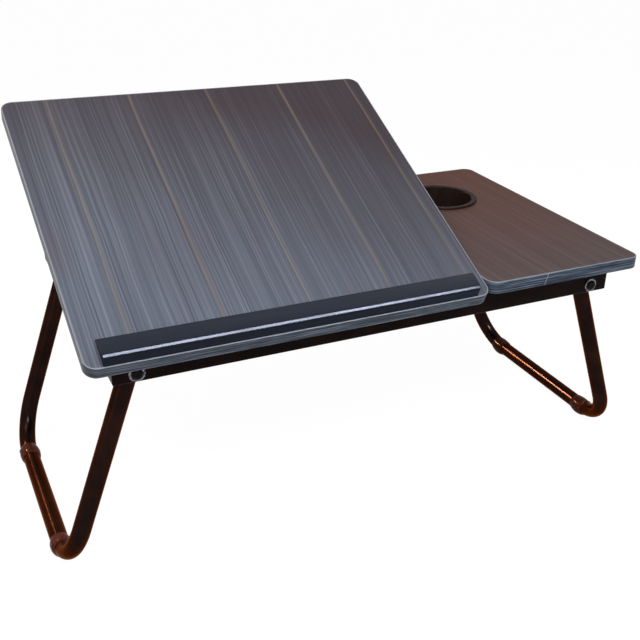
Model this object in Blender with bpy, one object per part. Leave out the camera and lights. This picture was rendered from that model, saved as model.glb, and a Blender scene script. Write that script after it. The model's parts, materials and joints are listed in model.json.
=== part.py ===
"""Laptop bed table: a tilting board and a fixed side board on a steel frame with folding tube legs.

Metres, +Z up, X along the width, -Y towards the user. The legs stand open and the board is tilted,
as in use. The origin is on the floor under the middle of the whole table.
"""
import math

import bmesh
import bpy
from mathutils import Matrix, Vector

# Boards
table_width = 0.600
table_depth = 0.355
table_height = 0.258
board_thickness = 0.013
laminate_thickness = 0.0008
edge_band_thickness = 0.0010
board_corner_radius = 0.012
tilt_board_width = 0.403
seam_gap = 0.0020

# Steel frame, folded channels with their webs outwards
front_overhang = 0.0210
back_overhang = 0.0130
side_overhang = 0.0255
rail_height = 0.0300
rail_depth = 0.0100
rail_wall = 0.0015
rail_fold_radius = 0.0020
rail_inner_fold_min = 0.0002
seam_bar_width = 0.0260
seam_bar_thickness = 0.0020

# Legs, one bent tube each
tube_radius = 0.0090
tube_wall = 0.0012
leg_bend_radius = 0.0480
leg_inset = 0.0215
leg_top_overrun = 0.0095
leg_lean = math.radians(20.5)
pivot_inset = 0.0220
pivot_above_rail_edge = 0.0088

# Leg pivots
bolt_radius = 0.0030
bolt_head_radius = 0.0056
bolt_head_height = 0.0036
washer_radius = 0.0077
washer_thickness = 0.0010
spacer_radius = 0.0060
nut_across_flats = 0.0100
nut_height = 0.0050
plug_head_height = 0.0012
plug_depth = 0.0040

# Foot sleeves, swollen like a barrel
foot_length = 0.0300
foot_half_width = 0.0120
foot_sole = 0.0017
foot_sole_swell = 0.0009
foot_crown = 0.0010
foot_mouth_wall = 0.0007
foot_past_bend = 0.0140
foot_screw_from_mouth = 0.0055
foot_screw_floor = 0.0008
foot_screw_radius = 0.0015
foot_screw_head_radius = 0.0030
foot_screw_head_height = 0.0016

# Tilting: hinges, prop and rack
tilt_angle = math.radians(25.0)
tilt_limit = math.radians(35.0)
hinge_length = 0.0650
hinge_half_spacing = 0.0795
hinge_leaf_thickness = 0.0012
hinge_knuckle_radius = 0.0030
hinge_pin_radius = 0.0015
hinge_frame_leaf = 0.0180
hinge_board_leaf = 0.0145
hinge_knuckles = 5
prop_rod_radius = 0.0030
prop_length = 0.1180
prop_width = 0.1200
prop_bend_radius = 0.0080
prop_stub = 0.0160
bracket_wall = 0.0012
bracket_width = 0.0070
bracket_foot = 0.0080
rack_bar_width = 0.0200
rack_bar_thickness = 0.0020
rack_bar_drop = 0.0100
rack_width = 0.0160
rack_wall = 0.0015
rack_tooth_pitch = 0.0080
rack_tooth_depth = 0.0040
rack_margin = 0.0060
rack_tip_flat = 0.0006
rack_tooth_rake = 0.0004

# Stopper bar, in section behind the board's front edge
stopper_setback = 0.0010
stopper_width = 0.0295
stopper_height = 0.0115
stopper_back_height = 0.0016
stopper_nose_radius = 0.0035
stopper_front_lean = 0.0008
stopper_left_inset = 0.0155
stopper_right_inset = 0.0075
stopper_right_cut = 0.0095

# Cup insert
cup_left_of_middle = 0.0070
cup_from_back = 0.0990
cup_flange_radius = 0.0465
cup_mouth_radius = 0.0392
cup_base_radius = 0.0345
cup_depth = 0.0500
cup_wall = 0.0018
cup_flange_height = 0.0020

# Screws that hold the fixed board
board_screw_radius = 0.0018
board_screw_head_radius = 0.0036
board_screw_head_height = 0.0018
board_screw_length = 0.0095
board_screw_from_seam = 0.0360
board_screw_from_corner = 0.0485

# Clearances
fit_gap = 0.0003
hole_gap = 0.0003
leg_clear = 0.0014

# Facets
round_steps = 16
arc_steps = 6
foot_steps = 8
cup_steps = 40

# Places worked out from the sizes
half_width = table_width / 2
half_depth = table_depth / 2
board_under = table_height - board_thickness
seam_left = -half_width + tilt_board_width
seam_right = seam_left + seam_gap
seam_middle = (seam_left + seam_right) / 2
rail_top = board_under - fit_gap
rail_bottom = rail_top - rail_height
frame_front = -half_depth + front_overhang
frame_back = half_depth - back_overhang
frame_side = half_width - side_overhang
frame_middle = (frame_front + frame_back) / 2
leg_half_span = (frame_back - frame_front) / 2 - leg_inset
pivot_x = frame_side - pivot_inset
pivot_z = rail_bottom + pivot_above_rail_edge
floor_bar_z = tube_radius + fit_gap + foot_sole
leg_length = (pivot_z - floor_bar_z) / math.cos(leg_lean)
leg_stop_reach = (tube_radius + fit_gap + pivot_above_rail_edge * math.sin(leg_lean)) / math.cos(leg_lean)
end_rail_depth = pivot_inset - leg_stop_reach
hinge_y = frame_front - fit_gap - hinge_knuckle_radius
hinge_drop = max(hinge_knuckle_radius, prop_rod_radius) + fit_gap
hinge_z = board_under - hinge_drop
hinge_from_edge = hinge_y + half_depth
tilt_middle = (seam_left - half_width) / 2
cup_x = (seam_right + half_width) / 2 - cup_left_of_middle
cup_y = half_depth - cup_from_back


def material(name, colour, roughness, metallic=0.0):
    """A Principled material with one colour."""
    made = bpy.data.materials.new(name)
    made.use_nodes = True
    shader = made.node_tree.nodes["Principled BSDF"]
    shader.inputs["Base Color"].default_value = (*colour, 1.0)
    shader.inputs["Roughness"].default_value = roughness
    shader.inputs["Metallic"].default_value = metallic
    made.diffuse_color = (*colour, 1.0)
    return made


def empty(name, parent, location, rotation=(0.0, 0.0, 0.0)):
    """An empty that carries the pieces of one body on its axis."""
    made = bpy.data.objects.new(name, None)
    made.parent = parent
    made.location = location
    made.rotation_euler = rotation
    made.empty_display_size = 0.02
    bpy.context.scene.collection.objects.link(made)
    return made


def finish(name, shape, look, parent, smooth_angle=None):
    """Turns a bmesh into an object whose faces point outwards."""
    bmesh.ops.recalc_face_normals(shape, faces=shape.faces)
    mesh = bpy.data.meshes.new(name)
    shape.to_mesh(mesh)
    shape.free()
    if smooth_angle is not None:
        mesh.shade_smooth()
        mesh.set_sharp_from_angle(angle=math.radians(smooth_angle))
    made = bpy.data.objects.new(name, mesh)
    if look is not None:
        mesh.materials.append(look)
    made.parent = parent
    bpy.context.scene.collection.objects.link(made)
    return made


def prism(name, outline, place, span, look, parent, smooth_angle=None):
    """A flat outline carried along a straight line.

    place(a, b, c) gives the point for outline coordinates a, b at distance c along the span.
    """
    shape = bmesh.new()
    low = [shape.verts.new(place(a, b, span[0])) for a, b in outline]
    high = [shape.verts.new(place(a, b, span[1])) for a, b in outline]
    count = len(outline)
    for i in range(count):
        j = (i + 1) % count
        shape.faces.new((low[i], low[j], high[j], high[i]))
    shape.faces.new(low)
    shape.faces.new(high)
    return finish(name, shape, look, parent, smooth_angle)


def as_drawn(x, y, z):
    """Places an outline drawn in plan, carried upwards."""
    return (x, y, z)


def ring_wall(name, outer, inner, span, look, parent):
    """An upright wall between two closed outlines of the same number of points."""
    shape = bmesh.new()
    loops = []
    for outline, z in ((outer, span[0]), (outer, span[1]), (inner, span[1]), (inner, span[0])):
        loops.append([shape.verts.new((x, y, z)) for x, y in outline])
    count = len(outer)
    for k in range(4):
        this, following = loops[k], loops[(k + 1) % 4]
        for i in range(count):
            j = (i + 1) % count
            shape.faces.new((this[i], this[j], following[j], following[i]))
    return finish(name, shape, look, parent, 30)


def turned(name, profile, centre, axis, steps, look, parent, closed=False):
    """A profile of (radius, height) points spun about an axis through centre.

    A closed profile makes a ring, such as a washer. An open one starts and ends at radius 0.
    """
    turn = Vector(axis).to_track_quat("Z", "Y").to_matrix()
    shape = bmesh.new()
    rings = []
    for radius, height in profile:
        if radius == 0.0:
            rings.append([shape.verts.new(Vector(centre) + turn @ Vector((0.0, 0.0, height)))])
            continue
        ring = []
        for i in range(steps):
            angle = 2 * math.pi * i / steps
            point = Vector((radius * math.cos(angle), radius * math.sin(angle), height))
            ring.append(shape.verts.new(Vector(centre) + turn @ point))
        rings.append(ring)
    pairs = list(zip(rings, rings[1:]))
    if closed:
        pairs.append((rings[-1], rings[0]))
    for this, following in pairs:
        for i in range(steps):
            j = (i + 1) % steps
            corners = []
            for vertex in (this[i % len(this)], this[j % len(this)],
                           following[j % len(following)], following[i % len(following)]):
                if vertex not in corners:
                    corners.append(vertex)
            shape.faces.new(corners)
    return finish(name, shape, look, parent, 35)


def cut(target, cutter):
    """Cuts one object out of another, exactly, and hides the cutter."""
    cutter.hide_render = True
    cutter.display_type = "WIRE"
    step = target.modifiers.new("cut_" + cutter.name, "BOOLEAN")
    step.operation = "DIFFERENCE"
    step.solver = "EXACT"
    step.object = cutter


def drill(target, centre, axis, radius, length, parent, steps=round_steps):
    """Cuts a round hole of the given length, centred on a point."""
    profile = [(0.0, -length / 2), (radius, -length / 2), (radius, length / 2), (0.0, length / 2)]
    cut(target, turned(target.name + "_hole", profile, centre, axis, steps, None, parent))


def cut_box(target, low, high, parent):
    """Cuts an upright box out of an object."""
    outline = [(low[0], low[1]), (high[0], low[1]), (high[0], high[1]), (low[0], high[1])]
    cutter = prism(target.name + "_gap", outline, as_drawn, (low[2], high[2]), None, parent)
    cut(target, cutter)


def arc(centre, radius, start, stop, steps):
    """Points of a circular arc in a plane, angles in degrees."""
    points = []
    for i in range(steps + 1):
        angle = math.radians(start + (stop - start) * i / steps)
        points.append((centre[0] + radius * math.cos(angle), centre[1] + radius * math.sin(angle)))
    return points


def rounded_rectangle(low, high, radius, steps=arc_steps):
    """A rectangle with four round corners."""
    outline = []
    corners = (((high[0] - radius, high[1] - radius), 0), ((low[0] + radius, high[1] - radius), 90),
               ((low[0] + radius, low[1] + radius), 180), ((high[0] - radius, low[1] + radius), 270))
    for centre, start in corners:
        outline += arc(centre, radius, start, start + 90, steps)
    return outline


def bent_path(corners, radius, steps):
    """A path of straight runs with a round bend of one radius at each inner corner."""
    points = [Vector(corners[0])]
    for before, corner, after in zip(corners, corners[1:], corners[2:]):
        corner = Vector(corner)
        come = (corner - Vector(before)).normalized()
        leave = (Vector(after) - corner).normalized()
        turn = come.angle(leave)
        reach = radius * math.tan(turn / 2)
        start = corner - come * reach
        side = (leave - come * come.dot(leave)).normalized()
        centre = start + side * radius
        for i in range(steps + 1):
            angle = turn * i / steps
            points.append(centre + radius * (come * math.sin(angle) - side * math.cos(angle)))
    points.append(Vector(corners[-1]))
    return points


def directions(path):
    """The direction of a path at each of its points."""
    result = []
    for i in range(len(path)):
        before = path[max(i - 1, 0)]
        after = path[min(i + 1, len(path) - 1)]
        if 0 < i < len(path) - 1:
            result.append(((path[i] - before).normalized() + (after - path[i]).normalized()).normalized())
        else:
            result.append((after - before).normalized())
    return result


def tube_rings(shape, path, normal, radius, steps):
    """Rings of vertices round a path that lies in the plane square to normal."""
    rings = []
    for point, along in zip(path, directions(path)):
        across = normal.cross(along)
        ring = []
        for i in range(steps):
            angle = 2 * math.pi * i / steps
            spoke = math.cos(angle) * normal + math.sin(angle) * across
            ring.append(shape.verts.new(point + radius * spoke))
        rings.append(ring)
    return rings


def join_rings(shape, rings):
    """Faces between neighbouring rings."""
    for this, following in zip(rings, rings[1:]):
        count = len(this)
        for i in range(count):
            j = (i + 1) % count
            shape.faces.new((this[i], this[j], following[j], following[i]))


def swept_tube(name, path, normal, radius, look, parent, bore=0.0, steps=round_steps):
    """A round bar, or a tube with open ends where it has a bore, along a bent path."""
    shape = bmesh.new()
    normal = Vector(normal)
    outer = tube_rings(shape, path, normal, radius, steps)
    join_rings(shape, outer)
    if bore > 0.0:
        inner = tube_rings(shape, path, normal, bore, steps)
        join_rings(shape, inner)
        join_rings(shape, [outer[0], inner[0]])
        join_rings(shape, [outer[-1], inner[-1]])
    else:
        shape.faces.new(outer[0])
        shape.faces.new(outer[-1])
    return finish(name, shape, look, parent, 35)


def board(name, low_x, high_x, low_y, high_y, under, looks, parent, hole=None):
    """A fibreboard core with a laminate on top and an edge band round both.

    The hole is (x, y, radius) through core and laminate.
    """
    inner = edge_band_thickness
    seat = edge_band_thickness + fit_gap
    outer_line = rounded_rectangle((low_x, low_y), (high_x, high_y), board_corner_radius)
    band_line = rounded_rectangle((low_x + inner, low_y + inner), (high_x - inner, high_y - inner),
                                  board_corner_radius - inner)
    core_line = rounded_rectangle((low_x + seat, low_y + seat), (high_x - seat, high_y - seat),
                                  board_corner_radius - seat)
    top = under + board_thickness
    skin = top - laminate_thickness
    core = prism(name + "_core", core_line, as_drawn, (under, skin - fit_gap), looks["core"], parent)
    laminate = prism(name + "_laminate", core_line, as_drawn, (skin, top), looks["laminate"], parent)
    ring_wall(name + "_edge_band", outer_line, band_line, (under, top), looks["band"], parent)
    if hole is not None:
        for piece in (core, laminate):
            centre = (hole[0], hole[1], under + board_thickness / 2)
            drill(piece, centre, (0, 0, 1), hole[2], 3 * board_thickness, parent, cup_steps)
    return core


def channel_outline(depth):
    """Section of a folded channel: depth inwards from its web, height up from its lower edge."""
    r = rail_fold_radius
    s = max(r - rail_wall, rail_inner_fold_min)
    w = rail_wall
    h = rail_height
    steps = 3
    outline = [(depth, 0.0)]
    outline += arc((r, r), r, 270, 180, steps)
    outline += arc((r, h - r), r, 180, 90, steps)
    outline += [(depth, h), (depth, h - w)]
    outline += arc((w + s, h - w - s), s, 90, 180, steps)
    outline += arc((w + s, w + s), s, 180, 270, steps)
    outline += [(depth, w)]
    return outline


def mitred_rail(name, depth, other_depth, half_length, place, look, parent):
    """A channel whose ends are cut to meet the rails square to it at the outer corners.

    place(d, z, l) gives the point for depth d, height z and distance l along the rail.
    """
    outline = channel_outline(depth)
    shape = bmesh.new()
    rings = []
    for side in (-1, 1):
        ring = []
        for d, z in outline:
            reach = half_length - d * other_depth / depth - fit_gap
            ring.append(shape.verts.new(place(d, z, side * reach)))
        rings.append(ring)
    join_rings(shape, rings)
    shape.faces.new(rings[0])
    shape.faces.new(rings[1])
    return finish(name, shape, look, parent, 40)


def build_frame(looks, table):
    """Four mitred rails and the bar under the seam, with the holes of the leg pivots."""
    half_run = (frame_back - frame_front) / 2
    front = mitred_rail("front_rail", rail_depth, end_rail_depth, frame_side,
                        lambda d, z, l: (l, frame_front + d, rail_bottom + z), looks["frame"], table)
    back = mitred_rail("back_rail", rail_depth, end_rail_depth, frame_side,
                       lambda d, z, l: (l, frame_back - d, rail_bottom + z), looks["frame"], table)
    for side, label in ((-1, "left"), (1, "right")):
        mitred_rail(label + "_end_rail", end_rail_depth, rail_depth, half_run,
                    lambda d, z, l, s=side: (s * (frame_side - d), frame_middle + l, rail_bottom + z),
                    looks["frame"], table)
    for rail, y in ((front, frame_front), (back, frame_back)):
        for x in (-pivot_x, pivot_x):
            drill(rail, (x, y, pivot_z), (0, 1, 0), bolt_radius + hole_gap, 4 * rail_wall, table)
    low = (seam_middle - seam_bar_width / 2, frame_front + rail_depth + fit_gap)
    high = (seam_middle + seam_bar_width / 2, frame_back - rail_depth - fit_gap)
    prism("seam_cross_bar", [low, (high[0], low[1]), high, (low[0], high[1])], as_drawn,
          (rail_top - seam_bar_thickness, rail_top), looks["frame"], table)
    return front, back


def build_fixed_board(looks, table, rails):
    """The side board with its cup insert and its screws."""
    hole_radius = cup_mouth_radius + cup_wall + fit_gap
    core = board("fixed_board", seam_right, half_width, -half_depth, half_depth, board_under, looks, table,
                 (cup_x, cup_y, hole_radius))
    lip = cup_flange_height / 2
    seat = table_height + fit_gap
    floor = table_height - cup_depth
    inner_base = cup_base_radius - cup_wall
    profile = [
        (0.0, floor), (cup_base_radius - lip, floor), (cup_base_radius, floor + lip),
        (cup_mouth_radius + cup_wall, board_under), (cup_mouth_radius + cup_wall, seat),
        (cup_flange_radius, seat), (cup_flange_radius, seat + lip * 0.6),
        (cup_flange_radius - lip * 0.7, seat + cup_flange_height * 0.85),
        (cup_flange_radius - 2 * lip, seat + cup_flange_height),
        (cup_mouth_radius + lip, seat + cup_flange_height), (cup_mouth_radius, seat + lip),
        (cup_mouth_radius, board_under), (inner_base + lip * 0.4, floor + cup_wall + 2 * lip),
        (inner_base - 2 * lip, floor + cup_wall), (0.0, floor + cup_wall)]
    turned("cup_insert", profile, (cup_x, cup_y, 0.0), (0, 0, 1), cup_steps, looks["cup"], table)
    for rail, y, label in ((rails[0], frame_front + (rail_wall + rail_depth) / 2, "front"),
                           (rails[1], frame_back - (rail_wall + rail_depth) / 2, "back")):
        for place, x in (("inner", seam_right + board_screw_from_seam),
                         ("outer", frame_side - board_screw_from_corner)):
            under = rail_top - rail_wall - fit_gap
            r, head = board_screw_radius, board_screw_head_radius
            tip = under + board_screw_length
            crown = under - board_screw_head_height
            shoulder = under - board_screw_head_height * 0.4
            profile = [(0.0, crown), (head * 0.75, crown), (head, shoulder), (head, under), (r, under),
                       (r, tip - 2 * r), (0.0, tip)]
            turned("fixed_board_screw_" + label + "_" + place, profile, (x, y, 0.0), (0, 0, 1), 12,
                   looks["zinc"], table)
            drill(rail, (x, y, rail_top), (0, 0, 1), r + hole_gap, 4 * rail_wall, table, 12)
            pilot = 2 * (tip + hole_gap - board_under)
            drill(core, (x, y, board_under), (0, 0, 1), r + hole_gap, pilot, table, 12)


def stopper_outline():
    """Section of the stopper: distance behind the board's front edge, height above the board."""
    back = stopper_setback + stopper_width
    nose = (stopper_setback + stopper_front_lean + stopper_nose_radius,
            stopper_height - stopper_nose_radius)
    run = back - nose[0]
    fall = math.degrees(math.atan2(stopper_height - stopper_back_height, run))
    outline = [(stopper_setback, fit_gap)]
    outline += arc(nose, stopper_nose_radius, 178, 90 - fall, arc_steps)
    outline += [(back - 0.0004, stopper_back_height), (back, stopper_back_height - 0.0005), (back, fit_gap)]
    return outline


def build_tilt_board(looks, axis):
    """The tilting board, modelled flat, with the hinge axis at the origin of its empty."""
    front = -hinge_from_edge
    board("tilt_board", -half_width, seam_left, front, front + table_depth, hinge_drop, looks, axis)
    surface = hinge_drop + board_thickness
    left = -half_width + stopper_left_inset
    right = seam_left - stopper_right_inset
    shape = bmesh.new()
    rings = [[], []]
    for s, k in stopper_outline():
        cut_back = stopper_right_cut * (1 - (s - stopper_setback) / stopper_width)
        rings[0].append(shape.verts.new((left, front + s, surface + k)))
        rings[1].append(shape.verts.new((right - cut_back, front + s, surface + k)))
    join_rings(shape, rings)
    shape.faces.new(rings[0])
    shape.faces.new(rings[1])
    finish("stopper_bar", shape, looks["stopper"], axis, 40)


def leaf_outline(length):
    """A sheet leaf that lies along -b from a = 0 and curls three quarters round its pin."""
    outer = hinge_knuckle_radius
    inner = hinge_knuckle_radius - hinge_leaf_thickness
    steps = 2 * arc_steps
    outline = [(outer, -length), (outer, 0.0)]
    outline += arc((0.0, 0.0), outer, 0, 300, steps)[1:]
    outline += arc((0.0, 0.0), inner, 300, 0, steps)
    outline += [(inner, -length)]
    return outline


def build_hinges(looks, table, axis):
    """Two butt hinges: a leaf on the rail's face, a leaf under the board's front edge, and a pin."""
    pitch = hinge_length / hinge_knuckles
    reach = hinge_knuckle_radius + fit_gap
    for side, label in ((-1, "left"), (1, "right")):
        middle = tilt_middle + side * hinge_half_spacing
        start = middle - hinge_length / 2
        stop = middle + hinge_length / 2
        frame_leaf = prism(label + "_hinge_frame_leaf", leaf_outline(hinge_frame_leaf),
                           lambda a, b, x: (x, hinge_y + a, hinge_z + b), (start, stop),
                           looks["frame"], table, 35)
        board_leaf = prism(label + "_hinge_board_leaf", leaf_outline(hinge_board_leaf),
                           lambda a, b, x: (x, b, a), (start, stop), looks["frame"], axis, 35)
        for k in range(hinge_knuckles):
            gap_start = start + k * pitch - (fit_gap / 2 if k else fit_gap)
            gap_stop = start + (k + 1) * pitch + (fit_gap / 2 if k < hinge_knuckles - 1 else fit_gap)
            if k % 2:
                cut_box(frame_leaf, (gap_start, hinge_y - reach, hinge_z - reach),
                        (gap_stop, hinge_y + reach, hinge_z + reach), table)
            else:
                cut_box(board_leaf, (gap_start, -reach, -reach), (gap_stop, reach, reach), axis)
        r = hinge_pin_radius
        profile = [(0.0, start - r), (r, start - r), (r, stop + r), (0.0, stop + r)]
        turned(label + "_hinge_pin", profile, (0.0, hinge_y, hinge_z), (1, 0, 0), 12, looks["frame"], table)


def build_prop(looks, table, axis):
    """The wire prop on its axis, its two saddle brackets and the rack that it stands on."""
    hinge_side = empty("prop_axis", axis, (tilt_middle, prop_length, 0.0), (-2 * tilt_angle, 0.0, 0.0))
    half = prop_width / 2
    stub = half + prop_stub
    corners = [(-stub, 0, 0), (-half, 0, 0), (-half, prop_length, 0), (half, prop_length, 0), (half, 0, 0),
               (stub, 0, 0)]
    swept_tube("prop_rod", bent_path(corners, prop_bend_radius, arc_steps), (0, 0, 1), prop_rod_radius,
               looks["zinc"], hinge_side, steps=12)
    inner = prop_rod_radius + fit_gap
    outer = inner + bracket_wall
    top = hinge_drop - fit_gap
    plate = top - bracket_wall
    flare = math.degrees(math.asin(plate / outer))
    inner_flare = math.degrees(math.asin(min(top / inner, 1.0)))
    outline = [(-outer - bracket_foot, top), (-outer - bracket_foot, plate)]
    outline += arc((0.0, 0.0), outer, 180 - flare, 360 + flare, 2 * arc_steps)
    outline += [(outer + bracket_foot, plate), (outer + bracket_foot, top)]
    outline += arc((0.0, 0.0), inner, 360 + inner_flare, 180 - inner_flare, 2 * arc_steps)
    for side, label in ((-1, "left"), (1, "right")):
        middle = tilt_middle + side * (stub - bracket_width / 2)
        prism(label + "_prop_bracket", outline, lambda a, b, x: (x, prop_length + a, b),
              (middle - bracket_width / 2, middle + bracket_width / 2), looks["zinc"], axis, 35)
    tips = hinge_z - prop_rod_radius - fit_gap
    high = pivot_z + tube_radius + leg_clear
    low = high - rack_bar_drop
    w = rack_bar_thickness
    front_end = frame_front + rail_wall + fit_gap
    back_end = frame_back - rail_wall - fit_gap
    front_step = frame_middle - leg_half_span + tube_radius + leg_clear
    back_step = frame_middle + leg_half_span - tube_radius - leg_clear
    slope = rack_bar_drop
    lag = w * (math.sqrt(2) - 1)
    outline = [(front_end, high), (front_step - lag, high), (front_step - lag + slope, low),
               (back_step + lag - slope, low), (back_step + lag, high), (back_end, high),
               (back_end, high + w), (back_step, high + w), (back_step - slope, low + w),
               (front_step + slope, low + w), (front_step, high + w), (front_end, high + w)]
    prism("rack_cross_bar", outline, lambda y, z, x: (x, y, z),
          (tilt_middle - rack_bar_width / 2, tilt_middle + rack_bar_width / 2), looks["frame"], table)
    seat = low + w + fit_gap
    rack_end = hinge_y + 2 * prop_length + rack_margin
    rack_run = rack_end - (hinge_y + 2 * prop_length * math.cos(tilt_limit) - rack_margin)
    teeth = math.ceil(rack_run / rack_tooth_pitch)
    outline = [(rack_end, seat), (rack_end, tips)]
    for k in range(teeth):
        tip = rack_end - k * rack_tooth_pitch
        outline.append((tip - rack_tip_flat, tips))
        outline.append((tip - rack_tip_flat - rack_tooth_rake, tips - rack_tooth_depth))
        outline.append((tip - rack_tooth_pitch, tips))
    outline.append((rack_end - teeth * rack_tooth_pitch, seat))
    rack = prism("prop_rack", outline, lambda y, z, x: (x, y, z),
                 (tilt_middle - rack_width / 2, tilt_middle + rack_width / 2), looks["zinc"], table)
    slot = rack_width / 2 - rack_wall
    cut_box(rack, (tilt_middle - slot, rack_end - (teeth + 1) * rack_tooth_pitch, seat + rack_wall),
            (tilt_middle + slot, rack_end + rack_tooth_pitch, tips + rack_wall), table)


def leg_path(overrun):
    """Centre line of a leg: down the front arm, along the floor bar and up the back arm."""
    span = leg_half_span
    corners = [(0, -span, overrun), (0, -span, -leg_length), (0, span, -leg_length), (0, span, overrun)]
    return bent_path(corners, leg_bend_radius, arc_steps + 2)


def foot_point(end, station):
    """A point of the leg's centre line, by its distance past the start of a lower bend."""
    start = leg_half_span - leg_bend_radius
    if station <= 0.0:
        return Vector((0, end * (start + station), -leg_length))
    angle = station / leg_bend_radius
    return Vector((0, end * (start + leg_bend_radius * math.sin(angle)),
                   -leg_length + leg_bend_radius * (1 - math.cos(angle))))


def build_foot(name, end, lean, looks, axis):
    """A moulded sleeve round the end of the floor bar: a barrel with thin mouths and a flat sole."""
    half = foot_length / 2
    turns = [math.pi * k / foot_steps for k in range(foot_steps + 1)]
    path = [foot_point(end, foot_past_bend - half - half * math.cos(turn)) for turn in turns]
    upright = Matrix.Rotation(-lean, 3, "Y")
    sideways = upright @ Vector((1, 0, 0))
    fit = tube_radius + fit_gap
    shape = bmesh.new()
    rings = []
    for turn, point, along in zip(turns, path, directions(path)):
        up = sideways.cross(along)
        if up.dot(upright @ Vector((0, 0, 1))) < 0:
            up = -up
        side = along.cross(up).normalized()
        swell = math.sin(turn)
        wide = fit + foot_mouth_wall + swell * (foot_half_width - fit - foot_mouth_wall)
        high = fit + foot_mouth_wall + swell * (foot_crown - foot_mouth_wall)
        deep = fit + foot_mouth_wall + swell * (foot_sole + foot_sole_swell - foot_mouth_wall)
        ring = []
        for i in range(round_steps):
            angle = 2 * math.pi * i / round_steps
            rise = math.sin(angle) * (high if math.sin(angle) > 0 else deep)
            ring.append(shape.verts.new(point + math.cos(angle) * wide * side + rise * up))
        rings.append(ring)
    join_rings(shape, rings)
    shape.faces.new(rings[0])
    shape.faces.new(rings[-1])
    foot = finish(name, shape, looks["foot"], axis, 40)
    bore = swept_tube(name + "_bore", leg_path(0.0), (1, 0, 0), tube_radius + fit_gap, None, axis)
    cut(foot, bore)
    floor = Matrix.Rotation(-lean, 4, "Y")
    big = 3 * foot_length
    reach = end * leg_half_span
    outline = [(-big, -big), (big, -big), (big, big), (-big, big)]
    ground = floor_bar_z
    base = Vector((0, reach, -leg_length))
    ground_box = prism(name + "_floor", outline,
                       lambda x, y, z: base + (floor @ Vector((x, y, z - ground))), (-big, 0.0), None, axis)
    cut(foot, ground_box)
    return foot


def build_leg(label, side, looks, table):
    """One leg: bent tube, end plugs, foot sleeves and their screws, on an empty at the pivot axis."""
    lean = -side * leg_lean
    axis = empty(label + "_leg_axis", table, (side * pivot_x, frame_middle, pivot_z), (0.0, lean, 0.0))
    tube = swept_tube(label + "_leg_tube", leg_path(leg_top_overrun), (1, 0, 0), tube_radius,
                      looks["leg"], axis, bore=tube_radius - tube_wall)
    through = 2 * (leg_half_span + 2 * tube_radius)
    drill(tube, (0, 0, 0), (0, 1, 0), bolt_radius + hole_gap, through, axis)
    plug = tube_radius - tube_wall - fit_gap
    seat = leg_top_overrun + fit_gap
    for end, place in ((-1, "front"), (1, "back")):
        top = seat + plug_head_height
        profile = [(0.0, seat - plug_depth), (plug, seat - plug_depth), (plug, seat), (tube_radius, seat),
                   (tube_radius, seat + plug_head_height * 0.4), (tube_radius * 0.8, top), (0.0, top)]
        turned(label + "_leg_" + place + "_plug", profile, (0, end * leg_half_span, 0), (0, 0, 1), 12,
               looks["plug"], axis)
        foot = build_foot(label + "_" + place + "_foot", end, lean, looks, axis)
        centre = foot_point(end, foot_past_bend - foot_screw_from_mouth)
        outward = Vector((side, 0, 0))
        r, head = foot_screw_radius, foot_screw_head_radius
        floor = tube_radius + fit_gap + foot_screw_floor
        under_head = floor + fit_gap
        top = under_head + foot_screw_head_height
        profile = [(0.0, 0.0), (r, 0.0), (r, under_head), (head, under_head),
                   (head, under_head + foot_screw_head_height * 0.4), (head * 0.7, top), (0.0, top)]
        turned(label + "_" + place + "_foot_screw", profile, centre, outward, 12, looks["bolt"], axis)
        depth = 2 * (under_head - tube_radius / 2)
        for piece in (foot, tube):
            drill(piece, centre + outward * under_head, outward, r + hole_gap, depth, axis, 12)
        well = 2 * foot_half_width
        drill(foot, centre + outward * (floor + well / 2), outward, head + hole_gap, well, axis, 12)


def build_pivots(looks, table):
    """Bolt, washer, spacer and lock nut of each leg pivot."""
    for rail_face, inwards, place in ((frame_front, 1, "front"), (frame_back, -1, "back")):
        arm = frame_middle - inwards * leg_half_span
        for x, label in ((-pivot_x, "left"), (pivot_x, "right")):
            name = label + "_" + place + "_pivot_"
            centre = (x, rail_face, pivot_z)
            axis = (0, inwards, 0)
            hole = bolt_radius + hole_gap
            leg_near = abs(arm - rail_face) - tube_radius
            leg_far = abs(arm - rail_face) + tube_radius
            washer_out = -fit_gap - washer_thickness
            profile = [(hole, washer_out), (washer_radius, washer_out), (washer_radius, -fit_gap),
                       (hole, -fit_gap)]
            turned(name + "washer", profile, centre, axis, 20, looks["chrome"], table, closed=True)
            spacer = (rail_wall + fit_gap, leg_near - fit_gap)
            profile = [(hole, spacer[0]), (spacer_radius, spacer[0]), (spacer_radius, spacer[1]),
                       (hole, spacer[1])]
            turned(name + "spacer", profile, centre, axis, round_steps, looks["plug"], table, closed=True)
            nut = (leg_far + fit_gap, leg_far + fit_gap + nut_height)
            corner = nut_across_flats / 2 / math.cos(math.pi / 6)
            made = turned(name + "nut", [(0.0, nut[0]), (corner, nut[0]), (corner, nut[1]), (0.0, nut[1])],
                          centre, axis, 6, looks["zinc"], table)
            middle = (x, rail_face + inwards * (nut[0] + nut[1]) / 2, pivot_z)
            drill(made, middle, (0, 1, 0), hole, 2 * nut_height, table, 12)
            seat = washer_out - fit_gap
            dome = []
            for k in range(5):
                angle = math.pi / 2 * k / 4
                dome.append((bolt_head_radius * math.sin(angle), seat - bolt_head_height * math.cos(angle)))
            end = nut[1] + bolt_radius / 2
            profile = dome + [(bolt_radius, seat), (bolt_radius, end), (0.0, end)]
            turned(name + "bolt", profile, centre, axis, round_steps, looks["bolt"], table)


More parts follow.
